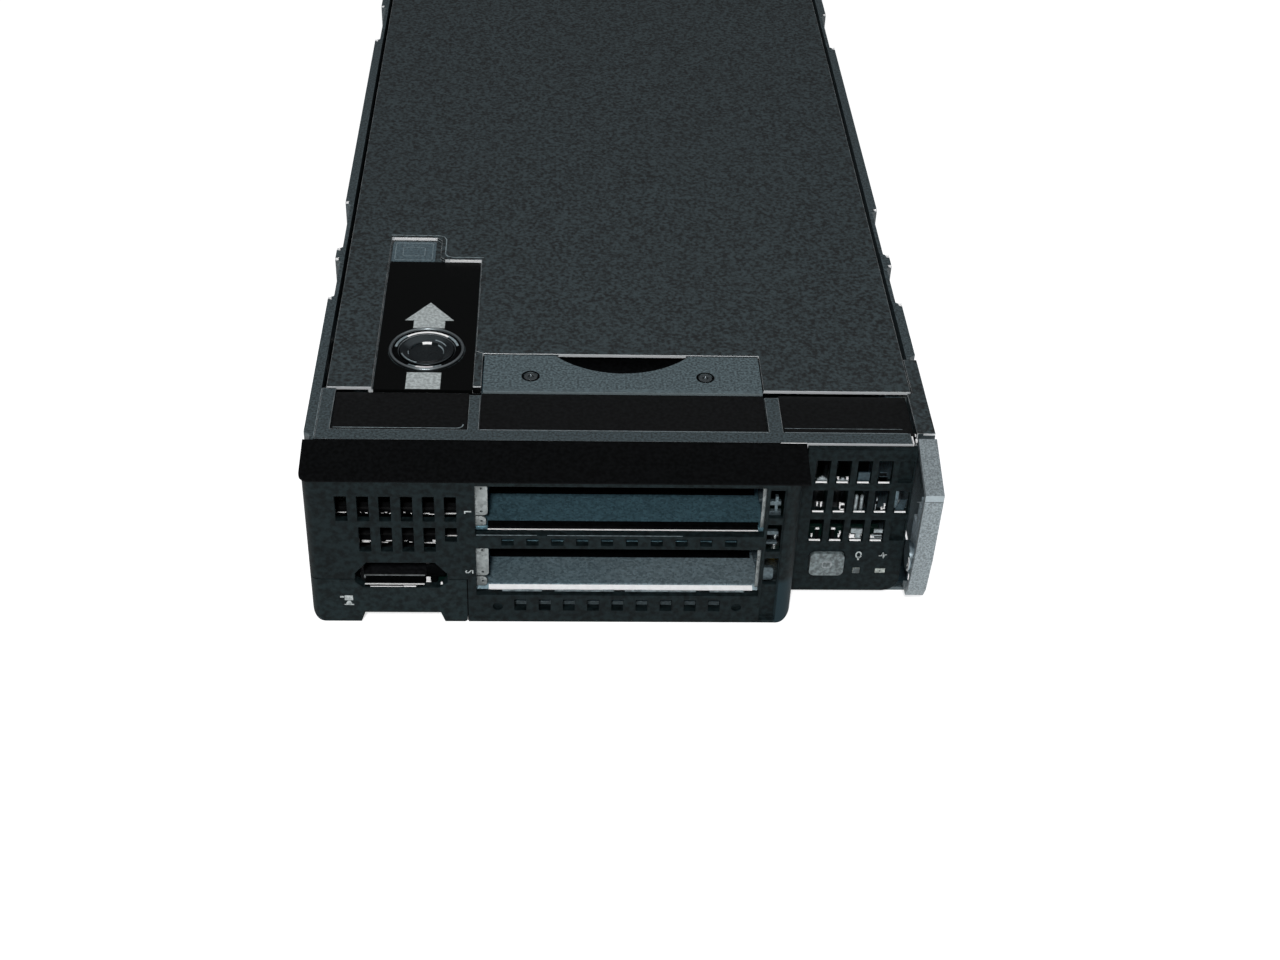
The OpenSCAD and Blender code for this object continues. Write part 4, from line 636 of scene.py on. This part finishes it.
def make_port_metal():
    """Lip of the service connector at the floor of the pull tab's opening, painted as a highlight, with
    painted shade and glints round it.
    """
    shell = box_mm("service_shell")[0].y - 0.06
    left, right, z = -73.9, -56.7, 13.26
    bars("port_lip", [((left, 1.0, z), (right, 1.3, z + 0.3))], SHINE, "chassis", 0.02)
    shade = [((left, 1.3, z + 0.02), (right, shell + 0.1, z + 0.2)), ((left, 0.3, z), (right, 1.0, z + 0.04)),
             ((-78.2, 5.0, 12.8), (-75.6, 5.2, 18.0))]
    bars("port_shade", shade, DARK, "chassis", 0.0)
    dashes = [(left + 1.6, left + 11.0, 0.12), (left + 11.2, left + 14.8, 0.3)]
    bars("port_dashes", [((a, 0.1, z), (b, 0.32, z + high)) for a, b, high in dashes], SHINE,
         "chassis", 0.02)
    bars("port_spots", [((-56.2, 2.4, 13.2), (-55.0, 2.75, 15.0))], SHINE, "chassis", 0.12)
    bars("port_glint", [((-51.95, 0.6, 13.9), (-51.45, 1.0, 14.6))], SHINE, "pull_tab", 0.1)
    # Dark plates under and beside the spots, as painted shade.
    shade_plates = [((-56.8, 2.4, 13.06), (-53.2, 5.5, 13.3)), ((-56.3, 5.0, 13.3), (-51.0, 5.2, 18.0))]
    bars("port_shade_plates", shade_plates, DARK, "chassis", 0.02)


# Bright edges behind the left vents, for each vent from right to left: start, end, rise and height
UPPER_GLINTS = [
    [(-0.3, 3.6, 0.0, 0.34)],
    [(-0.3, 1.9, 0.0, 0.3), (1.6, 3.6, -0.25, 0.25)],
    [(0.5, 1.1, 0.35, 0.3), (2.6, 3.0, 0.0, 0.2)],
    [(0.2, 1.0, 0.1, 0.2), (1.4, 2.0, 0.3, 0.25), (2.6, 3.2, 0.0, 0.2)],
    [(0.4, 0.8, 0.3, 0.25), (1.8, 2.6, 0.1, 0.22)],
    [(-0.3, 2.6, 0.2, 0.34)],
]
LOWER_GLINTS = [
    [(-0.2, 3.6, 2.7, 0.34)],
    [(-0.3, 3.6, 0.0, 0.3), (2.4, 3.3, 0.5, 0.75)],
    [(0.2, 1.2, 0.7, 0.2), (1.8, 2.6, 0.3, 0.2)],
    [(0.0, 1.8, 0.1, 0.26), (1.2, 2.9, 0.7, 0.26)],
    [(0.4, 2.6, 0.2, 0.8), (2.4, 3.2, 0.5, 0.4)],
]


def make_vent_glints():
    """Painted glints, as bright edges on dark hangers under the rails behind the left vents."""
    front, rear, width = 6.75, 7.0, 3.4
    x0, pitch = -50.2, 6.1
    pieces, hangers = [], []
    for level, top, row in ((35.1, 36.4, UPPER_GLINTS), (24.2, 26.8, LOWER_GLINTS)):
        for i, marks in enumerate(row):
            x = x0 - i * pitch - 0.4
            hangers.append(((x - 0.2, front + 0.06, level), (x + width + 0.6, rear, top)))
            for a, b, rise, high in marks:
                pieces.append(((x + a, front, level + rise), (x + b, front + 0.1, level + rise + high)))
    bars("vent_glints", pieces, SHINE, "chassis", 0.03)
    bars("vent_hangers", hangers, DARK, "chassis", 0.03)


# Lower left corners of the right vents by column and row: four columns, and a fifth in the middle row only
VENTS = {(c, r): (55.5 + c * 6.03, 21.6 + r * 10.8) for c in range(5) for r in range(3) if c < 4 or r == 1}
# Blocks seen through them: look, column, row, then left, right, lower and upper edges in the vent
VENT_BLOCKS = [
    ("plates", 0, 2, [(0.5, 3.4, 0.0, 0.6), (1.0, 2.8, 0.55, 1.1), (1.6, 2.2, 1.05, 1.5)]),
    ("chips", 1, 2, [(0.3, 0.7, 0.3, 0.9), (2.9, 3.4, 0.2, 0.9)]),
    ("plates", 1, 2, [(0.3, 3.6, 0.0, 0.35), (1.4, 2.3, 0.3, 0.9)]),
    ("dim_plates", 2, 2, [(0.2, 3.6, 0.0, 3.0)]),
    ("dim_plates", 3, 2, [(0.3, 2.4, 2.9, 3.2), (0.2, 2.8, 1.5, 1.7)]),
    ("chips", 0, 1, [(1.2, 1.5, 1.2, 2.4), (2.3, 2.7, 1.0, 2.4)]),
    ("chips", 1, 1, [(1.9, 2.3, 0.3, 2.2), (2.2, 3.2, 0.1, 0.5), (2.2, 3.2, 1.9, 2.25)]),
    ("chips", 3, 1, [(2.9, 3.2, 0.2, 1.9), (2.1, 2.5, 0.0, 0.6)]),
    ("plates", 3, 1, [(0.4, 0.8, 3.4, 4.3), (0.3, 0.6, 0.0, 2.2)]),
    ("chips", 0, 0, [(1.8, 2.7, 3.5, 3.8), (0.6, 0.95, 0.3, 1.3)]),
    ("chips", 1, 0, [(0.4, 1.4, 3.5, 3.8), (2.6, 3.1, 0.3, 1.3), (2.9, 3.2, 1.3, 2.3)]),
    ("plates", 2, 0, [(0.2, 3.6, 2.0, 3.6), (1.6, 3.4, 0.0, 2.0)]),
    ("chips", 2, 0, [(0.0, 1.5, 0.3, 1.7), (2.9, 3.4, 0.4, 1.4)]),
    ("plates", 3, 0, [(0.2, 3.6, 0.0, 0.5), (0.5, 3.5, 0.9, 1.5), (1.0, 3.6, 2.2, 3.4)]),
    ("chips", 3, 0, [(0.2, 1.2, 0.5, 1.1)]),
]
VENT_LOOKS = {"chips": (SHINE, 0.12), "plates": (CLIP, 0.15), "dim_plates": (CLIP_DARK, 0.1)}


def make_vent_blocks():
    """Sills of the right vents, painted as highlights, and small blocks behind them on dark posts from the
    vent's lower face, some of them white as painted glints.
    """
    face = box_mm("right_panel")[0].y
    sill_left, sill_right = 0.31, 3.55
    sills = [((x + sill_left, face + 0.02, z + 0.28), (x + sill_right, face + 0.42, z + 0.62))
             for x, z in VENTS.values()]
    bars("vent_sills", sills, SHINE, "chassis", 0.04)
    posts = [((x + sill_left, face + 0.06, z - 0.02), (x + sill_right, face + 0.4, z + 0.3))
             for x, z in VENTS.values()]
    front, rear, shift, lift = face + 0.7, face + 1.3, 0.25, 0.6
    blocks = {look: [] for look in VENT_LOOKS}
    for look, column, row, edges in VENT_BLOCKS:
        x, z = VENTS[(column, row)]
        x, z = x + shift, z + lift
        for a, b, c, d in edges:
            posts.append(((x + a, front + 0.05, z - lift - 0.02), (x + b, rear, z + c + 0.02)))
            blocks[look].append(((x + a, front, z + c), (x + b, rear, z + d)))
    for name, (look, soft) in VENT_LOOKS.items():
        bars(f"vent_{name}", blocks[name], look, "chassis", soft)
    bars("vent_posts", posts, DARK, "chassis", 0.0)


def make_vent_pins():
    """Two pins and a wedge behind the right vents of the middle row."""
    front = box_mm("right_panel")[0].y + 0.7
    x, z = VENTS[(2, 1)]
    pin = [(0.55, 0), (0.55, 5.4), (0.35, 5.8)]
    for i, side in enumerate((0.9, 2.5)):
        turned(f"vent_pin_{i + 1}", pin, (x + side, front + 0.6, z + 0.02), "z", CLIP, "chassis")
    x, z = VENTS[(4, 1)]
    wedge = [(x + 0.3, z + 0.05), (x + 2.9, z + 0.05), (x + 3.6, z + 4.6), (x + 1.6, z + 4.6)]
    prism("vent_wedge", [wedge], "y", front, front + 0.4, CLIP_DARK, "chassis", 0.05)


# ---------- lines along the edges of the top ----------
def make_insert_lines():
    """Painted highlight lines and a curl on the bridge's black inserts, painted shade in the gaps between
    them, and a painted highlight on the bridge's left edge.
    """
    low, high = box_mm("bridge_inserts")
    floor, ceiling = high.z, high.z + 0.05
    glint_lines = [(low.x + 0.5, low.y + 1.75, -47.4, low.y + 1.95), (-40.7, low.y + 1.1, 42.0, low.y + 1.26),
             (47.0, low.y + 1.1, high.x - 1.7, low.y + 1.24), (47.0, low.y + 3.1, high.x - 3.0, low.y + 3.2)]
    bars("insert_glint_lines", [((a, b, floor), (c, d, ceiling)) for a, b, c, d in glint_lines], GREY, "chassis", 0.0)
    curl = [(-47.4, low.y + 1.85), (-46.4, low.y + 2.05), (-45.8, low.y + 2.6), (-45.5, low.y + 3.6)]
    prism("insert_curl", [stroke(curl, 0.35)], "z", floor, ceiling, GREY, "chassis")
    bridge = box_mm("front_bridge")[0].x
    bars("rail_line", [((bridge + 0.02, 15.4, TOP), (bridge + 0.16, 39.5, TOP + 0.04))], GREY, "chassis", 0.0)
    front, rear, z = 37.05, 40.4, 53.3
    gaps = [((left, front, z), (right, rear, z + 0.06)) for left, right in ((-44.15, -41.05), (42.25, 46.25))]
    bars("bar_gaps", gaps, DARK, "chassis", 0.0)


def make_band_lines():
    """Dark strip, painted shade, in the joint behind the sloped band, a painted glint at its right end, and
    the shaded front of the corner bracket.
    """
    right = box_mm("top_band")[1].x
    split, front, rear = right - 7.5, 14.82, 15.06
    bars("band_seam", [((-87.1, front, TOP - 0.4), (split, rear, TOP + 0.03))], DARK, "chassis", 0.0)
    glint = ((split, front, TOP - 0.1), (right - 0.1, rear, TOP + 0.04))
    bars("band_glint", [glint], SHINE, "chassis", 0.02)
    left, front, rear = 85.3, 19.9, 19.99
    shades = [((left, front, 51.2), (90.3, rear, TOP - 0.6)), ((left, front, TOP - 0.62), (86.8, rear, TOP))]
    bars("bracket_shade", shades, SHADED, "chassis", 0.0)


def make_tab_lines():
    """Painted light on the bend of the cage tab, the dark notch, and painted shade in rings round the tab's
    screws.
    """
    low, high = box_mm("cage_tab")
    bend = ((low.x + 0.3, low.y + 0.1, high.z), (high.x - 0.3, low.y + 1.4, high.z + 0.02))
    bars("tab_bend", [bend], LIT_BEND, "chassis", 0.0)
    notch = 51.35
    bars("notch_liner", [((-21, 47, notch - 0.05), (22.5, 66, notch))], DARK, "chassis", 0.0)
    y, outer, inner, floor = 47.5, 2.75, 2.15, 55.0
    for i, x in enumerate((-26.55, 25.45)):
        ring = [arc(x, y, r, 0, 345, 24) for r in (outer, inner)]
        prism(f"screw_ring_{i + 1}", ring, "z", floor, floor + 0.03, DARK, "chassis")


def make_bridge_corner():
    """Painted highlights on the edges of the bridge's corner beside the lever."""
    corner = [((83.15, 15.05, 54.2), (83.45, 18.6, TOP + 0.04)), ((84.1, 16.4, 54.6), (84.6, 17.4, TOP)),
              ((84.3, 19.2, 54.7), (84.6, 19.8, TOP))]
    bars("bridge_corner", corner, SHINE, "chassis", 0.05)


def make_notch_shade():
    """Darker stretches of the hood's edge beside the finger notch."""
    rear = 58.8
    runs = [((left, rear - 0.06, TOP - 0.8), (right, rear - 0.01, TOP - 0.2))
            for left, right in ((-40.9, -18.3), (20.2, 42.1))]
    bars("notch_shade", runs, SHADED, "hood", 0.0)


def make_pocket_lines():
    """Painted highlight on the wall of the pocket behind the label and the sticker, and a dimmer painted
    highlight for the bend round it.
    """
    left, corner, right = -73.0, -56.6, -43.2
    deep, shallow = 126.0, 112.5
    wall, out = 0.12, 1.5
    runs = [(left + 0.8, corner - 2.2, deep), (corner + 3.2, right - 0.3, shallow)]
    bars("pocket_glints", [((a, y - wall, TOP - 0.8), (b, y - 0.01, TOP - 0.02)) for a, b, y in runs],
         SHINE, "hood", 0.03)
    bend = [(left - 0.3, deep + out), (corner - 1.2, deep + out), (corner + 0.6, deep + out - 0.6),
            (corner + out, deep - 1.0), (corner + out, shallow + 3.4),
            (corner + out + 0.8, shallow + out + 0.6), (corner + out + 2.4, shallow + out),
            (right + 0.6, shallow + out)]
    prism("pocket_bend", [stroke(bend, 0.3)], "z", TOP - 0.02, TOP + 0.03, GREY, "hood")


def make_button_glints():
    """Painted shade on the inner slope of the rim, and painted highlights in the arcs that its polish and the
    dish catch.
    """
    centre = (rim_low + rim_high) / 2
    place = (centre.x, centre.y)
    slope = [(8.7, TOP - 0.78, 10.38, TOP - 0.47, 0, 359.9)]
    arc_strips("rim_slope", place, slope, DARK, "hood")
    glints = [(8.95, TOP - 0.7, 9.6, TOP - 0.58, 48, 132), (9.1, TOP - 0.67, 10.25, TOP - 0.46, 253, 284)]
    arc_strips("rim_glints", place, glints, SHINE, "hood")
    sheen = [(9.1, TOP - 0.67, 9.8, TOP - 0.54, 12, 48), (9.1, TOP - 0.67, 9.8, TOP - 0.54, 132, 172),
             (9.2, TOP - 0.65, 9.9, TOP - 0.52, 238, 253), (9.2, TOP - 0.65, 9.9, TOP - 0.52, 284, 300)]
    arc_strips("rim_sheen", place, sheen, GREY, "hood")
    dish = TOP - 0.5
    arc_strips("dish_glint", place, [(4.75, dish - 1.46, 5.25, dish - 0.92, 76, 108)], SHINE, "hood_button")
    sheen = [(7.5, dish + 0.02, 7.95, dish + 0.03, 198, 250), (6.1, dish - 0.68, 6.35, dish - 0.53, 24, 68),
             (4.95, dish - 1.4, 5.2, dish - 1.1, -6, 50), (5.45, dish - 0.9, 5.75, dish - 0.84, 178, 196)]
    arc_strips("dish_sheen", place, sheen, GREY, "hood_button")


def make_rail_dots():
    """Painted glints on the corners at the ends of the side rails, behind the bridge."""
    top = box_mm("base_pan")[1].z
    runs = [(16.0, 91.0), (109.5, 120.5), (146.0, 278.0), (305.0, 437.0)]
    rail, bridge_end, inset = 89.75, 60, 2.4
    for name, side in (("left", -1), ("right", 1)):
        ends = [y for y0, y1 in runs for y in (y0 + inset, y1 - inset) if y > bridge_end]
        dots = [((side * rail - 0.4, y - 0.5, top - 0.3), (side * rail + 0.4, y + 0.5, top + 0.06))
                for y in ends]
        bars(f"rail_dots_{name}", dots, SHINE, "chassis", 0.2)


# ---------- lever, lights and power button ----------
def make_lever_marks():
    """Dark line under the lever's nose facet, painted glints in arcs on its latch button, and the sheet of
    the channel it closes into.
    """
    low, high = box_mm("release_lever")
    dark_line = ((low.x + 0.1, low.y - 0.03, 47.12), (high.x - 0.05, low.y + 0.05, 47.3))
    bars("lever_dark_line", [dark_line], LEVER_LINE, "release_lever", 0.0)
    face = box_mm("latch_button")[0].x
    y, z = 7.5, 20.0
    for i, (radius, width) in enumerate(((4.25, 0.55), (3.0, 0.4))):
        outline = stroke(arc(y, z, radius, 150, 235, 10), width)
        prism(f"latch_glint_{i + 1}", [outline], "x", face - 0.04, face + 0.02, SHINE, "latch_button")
    floor, right, rear = 1.3, 88.5, 39.4
    tray = [((81.3, 16.8, floor), (right, rear, 1.7)), ((88.1, 18.0, floor), (right, rear, 9.3))]
    bars("channel_tray", tray, CLIP_DARK, "chassis", 0.05)


def make_seams():
    """Dark strip, painted shade, that closes the gap beside the pull tab, and the paint on the pan's tongue.
    """
    tab = box_mm("pull_tab")[1].x
    bars("tab_seam", [((tab + 0.05, 0.4, 0.1), (tab + 0.28, 3.0, 15.8))], DARK, "chassis", 0.0)
    bars("tongue_strip", [((-36.0, 5.1, 3.6), (35.5, 9.5, 3.65))], PAPER, "chassis", 0.0)


def make_lights():
    """Unlit cap and core of the two lights, and the printed ring of the power button."""
    front = box_mm("light_pipes")[0].y
    front, rear = front - 0.05, front - 0.01
    x, z, half = 71.1, 9.9, 0.95
    cap = ((x - half, front, z - half), (x + half, rear, z + half))
    bars("light_cap_left", [cap], CAP, "chassis", 0.0)
    core = ((78.0, front, z - 0.25), (78.5, rear, z + 0.2))
    bars("light_core_right", [core], CAP, "chassis", 0.0)
    face = box_mm("power_button")[0].y
    x, z = 61.9, 12.9
    ring = [round_rect(x - 1.5, z - 1.3, x + 1.5, z + 1.3, 0.8),
            round_rect(x - 1.1, z - 0.9, x + 1.1, z + 0.9, 0.5)]
    prism("power_ring", ring, "y", face - 0.03, face, FAINT_INK, "power_button")


for make in (make_label, make_pocket_strip, make_sticker, make_numerals, make_marks, make_bay_lips,
             make_bay_shade, make_port_metal, make_vent_glints, make_vent_blocks, make_vent_pins,
             make_insert_lines, make_band_lines, make_tab_lines, make_bridge_corner, make_notch_shade,
             make_pocket_lines, make_button_glints, make_rail_dots, make_lever_marks, make_seams,
             make_lights):
    make()


# ---------- floor, light and camera ----------
def make_floor():
    """White floor just under the part, lit a little by itself where the camera sees it."""
    half, z = 3.0, -0.0003
    mesh = bpy.data.meshes.new("floor")
    corners = [(x, y, z) for x, y in rect(-half, -half, half, half)]
    mesh.from_pydata(corners, [], [(0, 1, 2, 3)])
    floor = bpy.data.objects.new("floor", mesh)
    bpy.context.scene.collection.objects.link(floor)
    s = Shader("floor")
    s.set(Base_Color=srgb(246, 246, 246), Roughness=0.9)
    path = s.add("ShaderNodeLightPath")
    seen = s.math("MAXIMUM", path.outputs["Is Camera Ray"], path.outputs["Is Glossy Ray"])
    s.put(s.surface, "Emission Color", (1.0, 1.0, 1.0, 1.0))
    s.put(s.surface, "Emission Strength", s.math("MULTIPLY", seen, 0.62))
    mesh.materials.append(s.material)


def make_world(level):
    """Soft bluish light on the part, while the camera sees plain white behind it."""
    world = bpy.data.worlds.new("studio")
    bpy.context.scene.world = world
    world.use_nodes = True
    tree = world.node_tree
    tree.nodes.clear()
    bluish, plain = (0.93, 0.96, 1.0, 1.0), (1.0, 1.0, 1.0, 1.0)
    path = tree.nodes.new("ShaderNodeLightPath")
    seen = tree.nodes.new("ShaderNodeMath")
    seen.operation = "MAXIMUM"
    tree.links.new(path.outputs["Is Camera Ray"], seen.inputs[0])
    tree.links.new(path.outputs["Is Transmission Ray"], seen.inputs[1])
    light = tree.nodes.new("ShaderNodeBackground")
    light.inputs[0].default_value = bluish
    light.inputs[1].default_value = level
    white = tree.nodes.new("ShaderNodeBackground")
    white.inputs[0].default_value = plain
    mix = tree.nodes.new("ShaderNodeMixShader")
    output = tree.nodes.new("ShaderNodeOutputWorld")
    tree.links.new(seen.outputs[0], mix.inputs[0])
    tree.links.new(light.outputs[0], mix.inputs[1])
    tree.links.new(white.outputs[0], mix.inputs[2])
    tree.links.new(mix.outputs[0], output.inputs[0])


def lamp(name, place, target, size, power):
    """Rectangular lamp that looks at a target."""
    data = bpy.data.lights.new(name, "AREA")
    data.shape = "RECTANGLE"
    data.size, data.size_y = size
    data.energy = power
    light = bpy.data.objects.new(name, data)
    light.location = place
    light.rotation_euler = (Vector(target) - Vector(place)).to_track_quat("-Z", "Y").to_euler()
    bpy.context.scene.collection.objects.link(light)


def make_camera():
    """A 53 mm view from above the front, turned a little to the left side."""
    data = bpy.data.cameras.new("camera")
    data.sensor_width, data.lens = 36.0, 52.82
    tilt, roll, turn = 52.11, -2.0, -1.845
    camera = bpy.data.objects.new("camera", data)
    camera.location = at(-20.0, -411.9, 374.0)
    camera.rotation_euler = Euler([math.radians(a) for a in (tilt, roll, turn)])
    bpy.context.scene.collection.objects.link(camera)
    bpy.context.scene.camera = camera


make_camera()
make_floor()
make_world(0.15)
lamp("front_softbox", at(-110, -890, 885), at(0, 0, 30), (0.12, 0.12), 9.3)
lamp("top_softbox", at(0, 300, 1200), at(0, 150, 0), (1.6, 1.6), 4.0)
bpy.context.scene.view_settings.view_transform = "Standard"
